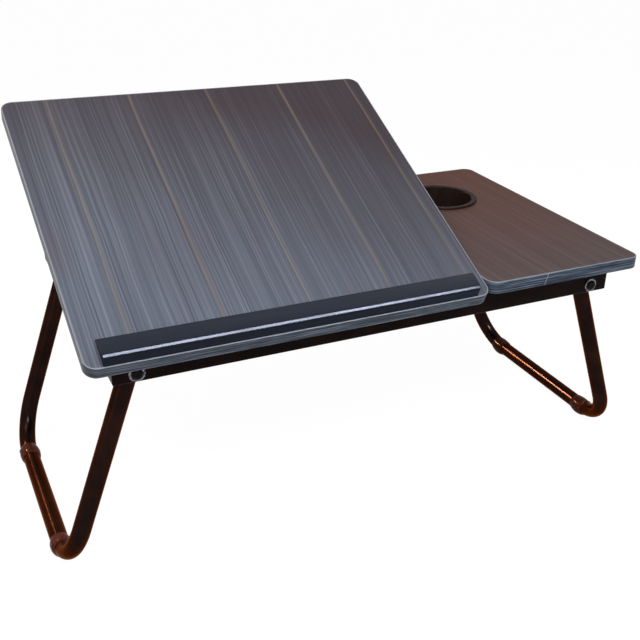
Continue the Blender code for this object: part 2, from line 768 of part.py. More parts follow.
def middle_shift():
    """How far the boards' middle lies behind the middle of the whole table at rest."""
    front = half_depth
    rim = [(0.0, 0.0)] + stopper_outline()
    for s, k in rim:
        along = s - hinge_from_edge
        up = hinge_drop + board_thickness + k
        front = min(front, hinge_y + along * math.cos(tilt_angle) - up * math.sin(tilt_angle))
    return -(front + half_depth) / 2


def main():
    """Builds the table."""
    for item in list(bpy.data.objects):
        bpy.data.objects.remove(item, do_unlink=True)
    looks = {
        "core": material("fibreboard", (0.42, 0.30, 0.19), 0.85),
        "laminate": material("wood_look_laminate", (0.13, 0.12, 0.13), 0.35),
        "band": material("edge_band", (0.12, 0.15, 0.18), 0.40),
        "stopper": material("stopper_grey", (0.10, 0.10, 0.12), 0.35),
        "cup": material("cup_plastic", (0.015, 0.014, 0.014), 0.12),
        "frame": material("frame_paint", (0.020, 0.014, 0.013), 0.35, 0.2),
        "leg": material("leg_paint", (0.012, 0.009, 0.009), 0.12, 0.2),
        "foot": material("foot_plastic", (0.014, 0.011, 0.010), 0.20),
        "plug": material("plug_plastic", (0.02, 0.02, 0.02), 0.55),
        "zinc": material("zinc_plate", (0.55, 0.54, 0.52), 0.30, 1.0),
        "chrome": material("bright_washer", (0.75, 0.74, 0.72), 0.12, 1.0),
        "bolt": material("dark_bolt", (0.10, 0.09, 0.09), 0.18, 1.0),
    }
    table = empty("table", None, (0.0, middle_shift(), 0.0))
    axis = empty("tilt_axis", table, (0.0, hinge_y, hinge_z), (tilt_angle, 0.0, 0.0))
    rails = build_frame(looks, table)
    build_fixed_board(looks, table, rails)
    build_tilt_board(looks, axis)
    build_hinges(looks, table, axis)
    build_prop(looks, table, axis)
    for label, side in (("left", -1), ("right", 1)):
        build_leg(label, side, looks, table)
    build_pivots(looks, table)
    bpy.context.view_layer.update()


main()
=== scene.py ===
"""Laptop bed table: boards, stopper, cup insert, steel frame, folding legs and prop, with their finishes."""

import json
import logging
import math
from collections.abc import Callable
from dataclasses import dataclass, field
from enum import Enum

import bpy
import numpy as np
from mathutils import Matrix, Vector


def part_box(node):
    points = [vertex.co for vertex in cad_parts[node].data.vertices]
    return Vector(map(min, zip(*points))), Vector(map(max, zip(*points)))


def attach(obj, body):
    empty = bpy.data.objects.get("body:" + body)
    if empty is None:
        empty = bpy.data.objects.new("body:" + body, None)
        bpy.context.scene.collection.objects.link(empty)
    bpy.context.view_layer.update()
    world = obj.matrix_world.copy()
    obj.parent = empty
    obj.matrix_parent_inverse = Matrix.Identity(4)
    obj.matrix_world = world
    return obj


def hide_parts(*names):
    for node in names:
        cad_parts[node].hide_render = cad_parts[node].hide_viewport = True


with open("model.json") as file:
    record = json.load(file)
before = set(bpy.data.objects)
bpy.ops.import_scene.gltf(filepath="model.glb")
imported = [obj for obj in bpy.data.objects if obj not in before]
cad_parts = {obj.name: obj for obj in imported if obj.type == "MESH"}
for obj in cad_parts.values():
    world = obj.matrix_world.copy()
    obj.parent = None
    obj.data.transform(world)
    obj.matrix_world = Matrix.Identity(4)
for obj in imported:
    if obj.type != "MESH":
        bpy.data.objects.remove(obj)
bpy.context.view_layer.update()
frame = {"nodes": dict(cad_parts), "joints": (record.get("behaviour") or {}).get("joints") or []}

Array = np.ndarray
Colour = tuple[float, float, float, float]
Point = tuple[float, float, float]
Socket = bpy.types.NodeSocket
Tree = bpy.types.NodeTree

log = logging.getLogger("laptop_bed_table")
MM = 0.001
# A closed profile starts this near its axis, so that its end face keeps a middle.
POLE = 0.01 * MM
SIDES = ("left", "right")
ENDS = ("front", "back")
TILT_DEGREES = 25.0
LEAN_DEGREES = 20.5
WHITE: Colour = (1.0, 1.0, 1.0, 1.0)


class Body(Enum):
    """The bodies of the table that pieces ride on."""

    FRAME = "frame"
    BOARD = "tilt_board"
    PROP = "prop"
    LEFT_LEG = "left_leg"
    RIGHT_LEG = "right_leg"


class Axis(Enum):
    """The axis that a sub-assembly is turned about."""

    X = "X"
    Y = "Y"


class Closing(Enum):
    """How the open ends of a surface are closed."""

    FAN = "a fan of triangles to a middle point"
    FACE = "one flat face"


def linear(code: str) -> Colour:
    """Turns an sRGB hex value into a linear colour.

    Args:
        code: the colour as written, such as "#5f6470".

    Returns:
        Red, green, blue and alpha.
    """
    parts = np.array([int(code[i:i + 2], 16) for i in (1, 3, 5)]) / 255
    values = np.where(parts <= 0.04045, parts / 12.92, ((parts + 0.055) / 1.055) ** 2.4)
    return (float(values[0]), float(values[1]), float(values[2]), 1.0)


def add(tree: Tree, kind: str, inputs: dict | None = None, stops: tuple[tuple[float, str], ...] = (),
        **settings: object) -> bpy.types.Node:
    """Adds a node with its settings and links.

    Args:
        tree: the material's nodes.
        kind: the node's type.
        inputs: a value, or the socket to link, for each input's name or number.
        stops: position and colour of each stop, for a colour ramp.
        settings: the node's own settings.

    Returns:
        The node.
    """
    node = tree.nodes.new(kind)
    for key, value in settings.items():
        setattr(node, key, value)
    for key, value in (inputs or {}).items():
        if isinstance(value, bpy.types.NodeSocket):
            tree.links.new(value, node.inputs[key])
        else:
            node.inputs[key].default_value = value
    for place, (position, code) in enumerate(stops):
        elements = node.color_ramp.elements
        if place == len(elements):
            elements.new(position)
        elements[place].position, elements[place].color = position, linear(code)
    return node


@dataclass(frozen=True)
class Finish:
    """A finish on the table, made as one material and shared by the pieces that have it."""

    name: str
    slot: str
    colour: str
    roughness: float
    metallic: float = 0.0
    specular: float = 0.5
    sheen: float = 0.0
    sheen_tint: str = "#ffffff"
    edge_tint: str = "#ffffff"

    def material(self) -> bpy.types.Material:
        """Returns the material, made on its first use."""
        made = bpy.data.materials.get(self.name)
        if made is not None:
            return made
        made = bpy.data.materials.new(self.name)
        made.use_nodes = True
        tree = made.node_tree
        shader = tree.nodes["Principled BSDF"]
        shader.inputs["Base Color"].default_value = linear(self.colour)
        shader.inputs["Roughness"].default_value = self.roughness
        shader.inputs["Metallic"].default_value = self.metallic
        shader.inputs["Specular IOR Level"].default_value = self.specular
        shader.inputs["Specular Tint"].default_value = linear(self.edge_tint)
        shader.inputs["Sheen Weight"].default_value = self.sheen
        shader.inputs["Sheen Tint"].default_value = linear(self.sheen_tint)
        made.diffuse_color = linear(self.colour)
        self.dress(tree, shader)
        return made

    def dress(self, tree: Tree, shader: bpy.types.Node) -> None:
        """Adds the finish's pattern, relief and gloss to the shader.

        Args:
            tree: the material's nodes.
            shader: its Principled shader.
        """

    def millimetres(self, tree: Tree, scale: Point, turn: float = 0.0,
                    start: Socket | None = None) -> Socket:
        """Object coordinates counted in pattern cells of a real size.

        Args:
            tree: the material's nodes.
            scale: cells for each millimetre along X, Y and Z, after the turn.
            turn: degrees that the pattern is turned about X.
            start: coordinates to begin from, Object coordinates if left out.

        Returns:
            The scaled coordinates.
        """
        if start is None:
            start = add(tree, "ShaderNodeTexCoord").outputs["Object"]
        turned = add(tree, "ShaderNodeMapping", {"Vector": start, "Rotation": (math.radians(turn), 0, 0)})
        size = tuple(s / MM for s in scale)
        return add(tree, "ShaderNodeMapping", {"Vector": turned.outputs[0], "Scale": size}).outputs[0]

    def relief(self, tree: Tree, shader: bpy.types.Node, height: Socket, depth_mm: float,
               strength: float) -> None:
        """Links a height to the shader as bump.

        Args:
            tree: the material's nodes.
            shader: its Principled shader.
            height: the height, from 0 to 1.
            depth_mm: what a height of 1 stands for.
            strength: how much of it shows.
        """
        bump = add(tree, "ShaderNodeBump", {"Height": height, "Distance": depth_mm * MM,
                                            "Strength": strength})
        tree.links.new(bump.outputs[0], shader.inputs["Normal"])

    def pattern(self, tree: Tree, cells: Point, detail: float, roughness: float = 0.5, turn: float = 0.0,
                start: Socket | None = None) -> Socket:
        """A cloudy noise in cells of a real size.

        Args:
            tree: the material's nodes.
            cells: cells for each millimetre along X, Y and Z, after the turn.
            detail: how many finer layers it has.
            roughness: how strong each finer layer is.
            turn: degrees that it is turned about X.
            start: coordinates to begin from, Object coordinates if left out.

        Returns:
            The noise, around 0.5.
        """
        place = self.millimetres(tree, cells, turn, start)
        return add(tree, "ShaderNodeTexNoise", {"Vector": place, "Scale": 1.0, "Detail": detail,
                                                "Roughness": roughness}).outputs[0]

    def second_tone(self, tree: Tree, shader: bpy.types.Node, noise: Socket, span: tuple[float, float],
                    most: float, code: str) -> None:
        """Lets a second colour through where a noise is high.

        Args:
            tree: the material's nodes.
            shader: its Principled shader.
            noise: the noise.
            span: where in the noise the second colour begins, and where it is full.
            most: how much of it shows there.
            code: the second colour as written.
        """
        share = add(tree, "ShaderNodeMapRange", {0: noise, 1: span[0], 2: span[1], 3: 0.0, 4: most})
        mixed = add(tree, "ShaderNodeMix", {0: share.outputs[0], 6: linear(self.colour), 7: linear(code)},
                    data_type="RGBA")
        tree.links.new(mixed.outputs[2], shader.inputs["Base Color"])

    def uneven_gloss(self, tree: Tree, shader: bpy.types.Node, noise: Socket, span: tuple[float, float],
                     least: float, most: float) -> None:
        """Dulls the finish where a noise is high.

        Args:
            tree: the material's nodes.
            shader: its Principled shader.
            noise: the noise.
            span: where in the noise the roughness starts to rise, and where it stops.
            least: the roughness below the span.
            most: the roughness above it.
        """
        rough = add(tree, "ShaderNodeMapRange", {0: noise, 1: span[0], 2: span[1], 3: least, 4: most})
        tree.links.new(rough.outputs[0], shader.inputs["Roughness"])


@dataclass(frozen=True)
class PrintLine:
    """A through line of the print: its place after the straw line, its half width and how much it shows."""

    after_mm: float
    half_mm: float
    colour: str
    show: float


@dataclass(frozen=True)
class PrintedLaminate(Finish):
    """Decor paper under a melamine skin: bands, hair lines and a set of through lines, all along the board.

    The skin gives a satin gloss that the pressed streaks break up lengthwise. The real print's hair lines
    are about 0.3 mm wide, so they are drawn at the 1 mm that still shows. A pair of sizes is a pattern's
    cell across the board and along it. Towards the back, the colour moves from the front palette to the
    back one, which is painted shade and a painted warm reflection.
    """

    tilt: float = 0.0
    # The front palette is the print; the back one adds painted shade and a painted warm reflection.
    front: tuple[str, str, str] = ("#5a616b", "#676d78", "#787e89")
    back: tuple[str, str, str] = ("#463e41", "#4a4144", "#4f474a")
    stops: tuple[float, float, float] = (0.36, 0.50, 0.66)
    lines: tuple[PrintLine, ...] = (
        PrintLine(0.0, 1.3, "#8b7f6d", 0.52), PrintLine(2.6, 0.5, "#8f9092", 0.24),
        PrintLine(21.5, 0.7, "#8f96a3", 0.42), PrintLine(38.0, 0.6, "#88909c", 0.26),
        PrintLine(67.0, 0.5, "#88909c", 0.22), PrintLine(71.5, 0.7, "#8f96a3", 0.42))
    repeat_mm: float = 85.6
    first_mm: float = 2.0
    fade_mm: tuple[float, float] = (8.0, 60.0)
    streak_mm: tuple[float, float] = (3.0, 700.0)
    band_mm: tuple[float, float] = (11.0, 900.0)
    band_share: float = 0.45
    cloud_mm: tuple[float, float] = (120.0, 160.0)
    cloud_push_mm: float = 120.0
    blush_mm: tuple[float, float] = (26.0, 220.0)
    dark_hair_mm: tuple[float, float] = (1.6, 420.0)
    light_hair_mm: tuple[float, float] = (1.6, 380.0)
    hair_span: tuple[float, float] = (0.57, 0.68)
    blush: tuple[str, float] = ("#62565c", 0.40)
    dark_hair: tuple[str, float] = ("#33373f", 0.44)
    light_hair: tuple[str, float] = ("#939aa6", 0.36)
    back_calm: float = 0.15
    sway_mm: float = 4.0
    sway_cell_mm: tuple[float, float] = (90.0, 150.0)
    # Where the painted shade and warm reflection begin and where they are full, along the board.
    front_mm: float = -110.0
    back_mm: float = 250.0
    # Painted shade: how much the back palette also gains towards the right, for each millimetre across.
    slant: float = 0.54
    streak_depth_mm: float = 0.03

    def swaying(self, tree: Tree) -> Socket:
        """Object coordinates that drift a millimetre or two to the side along the board.

        Args:
            tree: the material's nodes.

        Returns:
            The coordinates.
        """
        across, along = self.sway_cell_mm
        drift = self.pattern(tree, (1 / across, 1 / along, 0), 2.0, turn=-self.tilt)
        reach = self.sway_mm / 2 * MM
        drift = add(tree, "ShaderNodeMapRange", {0: drift, 3: -reach, 4: reach})
        side = add(tree, "ShaderNodeCombineXYZ", {0: drift.outputs[0]})
        place = add(tree, "ShaderNodeTexCoord").outputs["Object"]
        return add(tree, "ShaderNodeVectorMath", {0: place, 1: side.outputs[0]}, operation="ADD").outputs[0]

    def drawn(self, tree: Tree, place: Socket, size_mm: tuple[float, float], detail: float,
              seed: float = 0.0) -> Socket:
        """A noise drawn out along the board.

        Args:
            tree: the material's nodes.
            place: the swaying coordinates.
            size_mm: the size of a cell across the board and along it.
            detail: how many finer layers it has.
            seed: tells patterns of one size apart.

        Returns:
            The noise, around 0.5.
        """
        cells = self.millimetres(tree, (1 / size_mm[0], 1 / size_mm[1], 0), -self.tilt, place)
        return add(tree, "ShaderNodeTexNoise", {"Vector": cells, "W": seed, "Scale": 1.0, "Detail": detail,
                                                "Roughness": 0.6}, noise_dimensions="4D").outputs[0]

    def overlay(self, tree: Tree, under: Socket, code: str, mask: Socket, share: Socket) -> Socket:
        """Prints a colour over another.

        Args:
            tree: the material's nodes.
            under: the colour so far.
            code: the colour on top, as written.
            mask: where it is printed.
            share: how much of the mask shows.

        Returns:
            The two colours together.
        """
        shown = add(tree, "ShaderNodeMath", {0: mask, 1: share}, operation="MULTIPLY").outputs[0]
        return add(tree, "ShaderNodeMix", {0: shown, 6: under, 7: linear(code)}, data_type="RGBA").outputs[2]

    def painted_shade_share(self, tree: Tree, place: Socket) -> Socket:
        """How far back a spot counts for the painted shade: its place leaning right, moved by slow clouds.

        Args:
            tree: the material's nodes.
            place: the swaying coordinates.

        Returns:
            A share from 0 to 1.
        """
        spot = add(tree, "ShaderNodeSeparateXYZ", {0: self.millimetres(tree, (1, 1, 1), -self.tilt)}).outputs
        along = add(tree, "ShaderNodeMath", {0: spot[0], 1: self.slant, 2: spot[1]},
                    operation="MULTIPLY_ADD")
        cloud = self.drawn(tree, place, self.cloud_mm, 2.0)
        along = add(tree, "ShaderNodeMath", {0: cloud, 1: self.cloud_push_mm, 2: along.outputs[0]},
                    operation="MULTIPLY_ADD")
        usual = self.cloud_push_mm / 2
        return add(tree, "ShaderNodeMapRange", {0: along.outputs[0], 1: self.front_mm + usual,
                                                2: self.back_mm + usual, 3: 0.0, 4: 1.0}).outputs[0]

    def dress(self, tree: Tree, shader: bpy.types.Node) -> None:
        """Adds streaks, bands, hair lines, through lines and painted shade and reflection at the back."""
        place = self.swaying(tree)
        fine = self.drawn(tree, place, self.streak_mm, 2.0)
        bands = self.drawn(tree, place, self.band_mm, 1.0, 3.0)
        level = add(tree, "ShaderNodeMix", {0: self.band_share, 2: fine, 3: bands}).outputs[0]
        # The back palette is painted shade and a painted warm reflection, blended in by the share below.
        front, back = (add(tree, "ShaderNodeValToRGB", {0: level}, tuple(zip(self.stops, codes))).outputs[0]
                       for codes in (self.front, self.back))
        share = self.painted_shade_share(tree, place)
        colour = add(tree, "ShaderNodeMix", {0: share, 6: front, 7: back}, data_type="RGBA").outputs[2]
        calm = add(tree, "ShaderNodeMapRange", {0: share, 3: 1.0, 4: self.back_calm}).outputs[0]
        for (code, show), size_mm, detail, seed in ((self.blush, self.blush_mm, 1.0, 5.0),
                                                    (self.dark_hair, self.dark_hair_mm, 0.0, 7.0),
                                                    (self.light_hair, self.light_hair_mm, 0.0, 9.0)):
            noise = self.drawn(tree, place, size_mm, detail, seed)
            mask = add(tree, "ShaderNodeMapRange", {0: noise, 1: self.hair_span[0], 2: self.hair_span[1],
                                                    3: 0.0, 4: show}).outputs[0]
            colour = self.overlay(tree, colour, code, mask, calm)
        tree.links.new(self.through_lines(tree, place, colour, calm), shader.inputs["Base Color"])
        self.uneven_gloss(tree, shader, fine, (0.3, 0.7), self.roughness - 0.06, self.roughness + 0.08)
        self.relief(tree, shader, fine, self.streak_depth_mm, 0.5)

    def through_lines(self, tree: Tree, place: Socket, colour: Socket, calm: Socket) -> Socket:
        """Adds the lines that run the board's length, sway with the print and fade in and out.

        Args:
            tree: the material's nodes.
            place: the swaying coordinates.
            colour: the colour so far.
            calm: how much the pale lines beside the straw line still show.

        Returns:
            The colour with the lines.
        """
        fade = self.drawn(tree, place, self.fade_mm, 2.0)
        fade = add(tree, "ShaderNodeMapRange", {0: fade, 1: 0.30, 2: 0.60, 3: 0.45, 4: 1.0}).outputs[0]
        pale = add(tree, "ShaderNodeMath", {0: fade, 1: calm}, operation="MULTIPLY").outputs[0]
        across = self.millimetres(tree, (1, 1, 1), -self.tilt, place)
        across = add(tree, "ShaderNodeSeparateXYZ", {0: across}).outputs[0]
        for line in self.lines:
            offset = add(tree, "ShaderNodeMath", {0: across, 1: self.first_mm + line.after_mm},
                         operation="SUBTRACT")
            distance = add(tree, "ShaderNodeMath", {0: offset.outputs[0], 1: self.repeat_mm / 2},
                           operation="PINGPONG")
            mask = add(tree, "ShaderNodeMapRange", {0: distance.outputs[0], 1: line.half_mm * 0.3,
                                                    2: line.half_mm * 1.6, 3: line.show, 4: 0.0}).outputs[0]
            colour = self.overlay(tree, colour, line.colour, mask, pale if line.after_mm > 0 else fade)
        return colour


@dataclass(frozen=True)
class EdgeBanding(Finish):
    """Extruded PVC edging with streaks along it, trimmed to a pale line at its upper edge.

    Its UV map is the distance along the edge and up its face, in metres. The pale line along the upper
    edge is partly the scraped PVC and partly a painted highlight on the eased arris.
    """

    dark: str = "#232d38"
    light: str = "#808c99"
    # Pale colour of the joint, and of the upper edge's line, which is partly a painted highlight.
    trimmed: str = "#a6a9ab"
    face_top_mm: float = 12.6
    pale_line_wave_mm: float = 0.9
    streak_mm: float = 1.3
    streak_depth_mm: float = 0.05
    joint_mm: float = 180.0
    joint_slant: float = 0.29
    joint_half_mm: float = 0.45

    def dress(self, tree: Tree, shader: bpy.types.Node) -> None:
        """Adds the streaks, the trimmed line with its painted highlight, and the joint."""
        unrolled = add(tree, "ShaderNodeUVMap", uv_map="UVMap").outputs[0]
        rows = self.pattern(tree, (0.012, 1 / self.streak_mm, 0), 3.0, 0.6, start=unrolled)
        flecks = self.pattern(tree, (0.06, 2 / self.streak_mm, 0), 2.0, start=unrolled)
        level = add(tree, "ShaderNodeMath", {0: flecks, 1: 0.35, 2: rows}, operation="MULTIPLY_ADD")
        colour = add(tree, "ShaderNodeValToRGB", {0: level.outputs[0]},
                     ((0.50, self.dark), (0.66, self.colour), (0.86, self.light))).outputs[0]
        for mask in (self.trim_and_highlight(tree, unrolled), self.joint(tree, unrolled)):
            colour = add(tree, "ShaderNodeMix", {0: mask, 6: colour, 7: linear(self.trimmed)},
                         data_type="RGBA").outputs[2]
        tree.links.new(colour, shader.inputs["Base Color"])
        self.relief(tree, shader, rows, self.streak_depth_mm, 0.4)

    def trim_and_highlight(self, tree: Tree, unrolled: Socket) -> Socket:
        """The pale, slightly wavy line along the upper edge: scraped PVC and a painted highlight.

        Args:
            tree: the material's nodes.
            unrolled: the band's UV map.

        Returns:
            How much of it shows.
        """
        wave = self.pattern(tree, (0.10, 0, 0), 3.0, start=unrolled)
        spot = add(tree, "ShaderNodeSeparateXYZ", {0: self.millimetres(tree, (1, 1, 1), start=unrolled)})
        height = add(tree, "ShaderNodeMath", {0: wave, 1: self.pale_line_wave_mm, 2: spot.outputs[1]},
                     operation="MULTIPLY_ADD")
        return add(tree, "ShaderNodeMapRange", {0: height.outputs[0], 1: self.face_top_mm + 0.60,
                                                2: self.face_top_mm + 0.95, 3: 0.0, 4: 0.75}).outputs[0]

    def joint(self, tree: Tree, unrolled: Socket) -> Socket:
        """The slanting butt joint, where the band's two ends meet.

        Args:
            tree: the material's nodes.
            unrolled: the band's UV map.

        Returns:
            How much of it shows.
        """
        along, up, _ = add(tree, "ShaderNodeSeparateXYZ",
                           {0: self.millimetres(tree, (1, 1, 1), start=unrolled)}).outputs
        lean = add(tree, "ShaderNodeMath", {0: up, 1: -self.joint_slant, 2: along}, operation="MULTIPLY_ADD")
        away = add(tree, "ShaderNodeMath", {0: lean.outputs[0], 1: self.joint_mm}, operation="SUBTRACT")
        away = add(tree, "ShaderNodeMath", {0: away.outputs[0]}, operation="ABSOLUTE")
        return add(tree, "ShaderNodeMapRange", {0: away.outputs[0], 1: self.joint_half_mm * 0.5,
                                                2: self.joint_half_mm * 1.5, 3: 0.8, 4: 0.0}).outputs[0]


@dataclass(frozen=True)
class RawFibreboard(Finish):
    """Pressed wood fibre, unpainted underneath: a dull, softly speckled brown."""

    dark: str = "#6b543b"
    light: str = "#a1835f"
    fibre_depth_mm: float = 0.12

    def dress(self, tree: Tree, shader: bpy.types.Node) -> None:
        """Adds fibre specks and slow clouds."""
        fibre = self.pattern(tree, (1.4, 0.7, 1.4), 5.0, 0.7)
        cloud = self.pattern(tree, (0.03, 0.03, 0.03), 3.0)
        level = add(tree, "ShaderNodeMath", {0: cloud, 1: 0.5, 2: fibre}, operation="MULTIPLY_ADD")
        colour = add(tree, "ShaderNodeValToRGB", {0: level.outputs[0]},
                     ((0.55, self.dark), (0.95, self.light))).outputs[0]
        tree.links.new(colour, shader.inputs["Base Color"])
        self.relief(tree, shader, fibre, self.fibre_depth_mm, 0.6)


@dataclass(frozen=True)
class SatinWrap(Finish):
    """Foil wrapped round a moulding: smooth, with faint lines along it and soft handling marks."""

    shade: str = "#1a202c"
    line_depth_mm: float = 0.01

    def dress(self, tree: Tree, shader: bpy.types.Node) -> None:
        """Adds the lengthwise lines and the marks."""
        lines = self.pattern(tree, (0.01, 1.1, 1.1), 2.0, turn=-TILT_DEGREES)
        marks = self.pattern(tree, (0.03, 0.06, 0.06), 4.0)
        colour = add(tree, "ShaderNodeValToRGB", {0: lines},
                     ((0.35, self.shade), (0.65, self.colour))).outputs[0]
        tree.links.new(colour, shader.inputs["Base Color"])
        self.uneven_gloss(tree, shader, marks, (0.3, 0.7), self.roughness - 0.04, self.roughness + 0.06)
        self.relief(tree, shader, lines, self.line_depth_mm, 0.3)


@dataclass(frozen=True)
class BakedPaint(Finish):
    """Stoved paint on steel: a warm black with orange peel, a brown bloom and duller, thinner patches."""

    thin: str = "#1f120e"
    peel_mm: float = 1.6
    peel_depth_mm: float = 0.02
    dulled: float = 0.10

    def dress(self, tree: Tree, shader: bpy.types.Node) -> None:
        """Adds orange peel, thin patches and dulled areas."""
        peel = self.pattern(tree, (1 / self.peel_mm,) * 3, 1.0)
        patch = self.pattern(tree, (0.03, 0.03, 0.03), 4.0)
        self.second_tone(tree, shader, patch, (0.40, 0.70), 0.8, self.thin)
        self.uneven_gloss(tree, shader, patch, (0.35, 0.75), self.roughness, self.roughness + self.dulled)
        self.relief(tree, shader, peel, self.peel_depth_mm, 0.3)


@dataclass(frozen=True)
class MouldedPlastic(Finish):
    """Injection-moulded plastic, with the faint grain of its mould and a little handling wear."""

    worn: str = "#2b2422"
    dulled: float = 0.15
    grain_mm: float = 0.5
    grain_depth_mm: float = 0.02

    def dress(self, tree: Tree, shader: bpy.types.Node) -> None:
        """Adds mould grain and worn patches."""
        grain = self.pattern(tree, (1 / self.grain_mm,) * 3, 2.0)
        wear = self.pattern(tree, (0.08, 0.08, 0.08), 4.0)
        self.second_tone(tree, shader, wear, (0.52, 0.80), 0.6, self.worn)
        self.uneven_gloss(tree, shader, wear, (0.30, 0.75), self.roughness, self.roughness + self.dulled)
        self.relief(tree, shader, grain, self.grain_depth_mm, 0.4)


@dataclass(frozen=True)
class PlatedSteel(Finish):
    """Plated steel: zinc has a cool, slightly clouded skin, nickel a clearer one."""

    cloud: str = "#8f8c86"
    cloud_mm: float = 4.0
    scratch_depth_mm: float = 0.01

    def dress(self, tree: Tree, shader: bpy.types.Node) -> None:
        """Adds clouds in the plating and fine rolling lines."""
        cloud = self.pattern(tree, (1 / self.cloud_mm,) * 3, 4.0, 0.6)
        lines = self.pattern(tree, (0.2, 4.0, 4.0), 2.0)
        self.second_tone(tree, shader, cloud, (0.38, 0.62), 1.0, self.cloud)
        self.uneven_gloss(tree, shader, cloud, (0.3, 0.7), self.roughness * 0.7, self.roughness * 1.4)
        self.relief(tree, shader, lines, self.scratch_depth_mm, 0.3)


# Melamine decor board, pressed against a satin plate: cool grey streaks under a skin too dull to mirror
# anything, with painted shade that darkens them towards the back and right, and a painted warm
# reflection that turns them mauve at the back.
TILT_LAMINATE = PrintedLaminate("melamine_decor_tilt_board", "laminate", "#636a77", 0.40, specular=0.05,
                                tilt=TILT_DEGREES)
# The same board in a walnut print: brown with faint streaks, and a painted warm reflection that makes
# it redder towards the back.
SIDE_LAMINATE = PrintedLaminate(
    "melamine_decor_side_board", "laminate", "#4a3a35", 0.45, specular=0.04,
    front=("#4f4140", "#584a48", "#645654"), back=("#5a3122", "#653727", "#70422c"),
    lines=(PrintLine(0.0, 0.9, "#80694e", 0.35), PrintLine(21.5, 0.7, "#746468", 0.4),
           PrintLine(62.0, 0.6, "#6e5c5c", 0.3)),
    blush=("#5e4036", 0.4), dark_hair=("#3a2f2d", 0.20), light_hair=("#7b6c68", 0.12),
    front_mm=-170.0, back_mm=180.0, slant=0.0)
# Extruded PVC edging, glued on hot and trimmed flush: blue-grey streaks and a pale line along its
# top, partly scraped PVC and partly a painted highlight.
BAND = EdgeBanding("pvc_edge_banding_tilt_board", "edge_band", "#3b4754", 0.42, specular=0.12)
SIDE_BAND = EdgeBanding("pvc_edge_banding_side_board", "edge_band", "#3b4754", 0.42, specular=0.12,
                        joint_mm=613.3)
# Medium-density fibreboard, pressed and left bare underneath: a dull, speckled brown.
FIBREBOARD = RawFibreboard("raw_fibreboard", "fibreboard", "#866a4b", 0.85, specular=0.2)
# PVC foil drawn over a planed moulding: near black and smooth enough to show one long soft highlight.
STOPPER = SatinWrap("foil_wrapped_moulding", "stopper_grey", "#202736", 0.16, specular=0.045)
# Stoved powder paint on the frame: a half-matt brown-black that hardly shines.
FRAME_PAINT = BakedPaint("stoved_frame_paint", "frame_paint", "#150907", 0.30, specular=0.04, thin="#22120e")
# Stoved bronze lacquer over bright steel tube: black where it is seen square on, red-brown along its edges,
# with a sharp warm highlight.
LEG_PAINT = BakedPaint("stoved_bronze_leg_lacquer", "leg_paint", "#1c1514", 0.17, 0.5, specular=0.0,
                       sheen=0.07, sheen_tint="#c23c22", edge_tint="#f0bfae", thin="#2e1d17",
                       peel_depth_mm=0.001)
# Moulded ABS: a smooth, deep brown-black cup.
CUP = MouldedPlastic("moulded_abs_cup", "cup_plastic", "#2c201b", 0.18, specular=0.012, worn="#382b26")
# Moulded polypropylene: red-brown, waxy sleeves, paler where they are rubbed.
FOOT = MouldedPlastic("moulded_polypropylene_foot", "foot_plastic", "#642f1f", 0.14, specular=0.02,
                      sheen=0.04, sheen_tint="#c0502a", worn="#854e38", grain_depth_mm=0.003, dulled=0.04)
# Moulded nylon: dull black plugs and spacers.
PLUG = MouldedPlastic("moulded_nylon_plug", "plug_plastic", "#1b1919", 0.50, specular=0.3)
# Zinc-plated and passivated steel wire and pressings: pale, clouded metal.
ZINC = PlatedSteel("zinc_plated_steel", "zinc_plate", "#c3c1bb", 0.30, 1.0)
# Bright nickel plate over a stamped washer, with near-black patches in it: a broken silvery ring.
NICKEL = PlatedSteel("nickel_plate_dark_patched", "bright_washer", "#85858a", 0.22, 1.0, cloud="#232122",
                     cloud_mm=1.8)
# Black nickel plate: a dark dome with a small clear glint.
DARK_DOME = PlatedSteel("black_nickel_plate", "dark_bolt", "#1e1b1c", 0.16, 1.0, cloud="#141212")


def pivot(joint: str) -> Point:
    """Where a joint's axis stands."""
    return tuple(next(j for j in frame["joints"] if j["name"] == joint)["pos_m"])


@dataclass(frozen=True)
class Placing:
    """Where a sub-assembly's own frame stands: an origin, and a turn about X or Y."""

    origin: Point = (0.0, 0.0, 0.0)
    about: Axis = Axis.X
    degrees: float = 0.0

    def matrix(self) -> Array:
        """Returns the turn as a 3 by 3 matrix."""
        c, s = math.cos(math.radians(self.degrees)), math.sin(math.radians(self.degrees))
        if self.about is Axis.X:
            return np.array([[1, 0, 0], [0, c, -s], [0, s, c]])
        return np.array([[c, 0, s], [0, 1, 0], [-s, 0, c]])

    def out(self, points: Array) -> Array:
        """Moves points from the sub-assembly's frame to the table's."""
        return np.asarray(self.origin) + points @ self.matrix().T

    def back(self, points: Array) -> Array:
        """Moves points from the table's frame to the sub-assembly's."""
        return (points - np.asarray(self.origin)) @ self.matrix()

    def box(self, node: str) -> tuple[Array, Array]:
        """Measures a CAD node in the sub-assembly's own frame.

        Args:
            node: the node's name.

        Returns:
            Its lowest and highest corners.
        """
        mesh = frame["nodes"][node].data
        points = np.empty(len(mesh.vertices) * 3)
        mesh.vertices.foreach_get("co", points)
        own = self.back(points.reshape(-1, 3))
        return own.min(axis=0), own.max(axis=0)


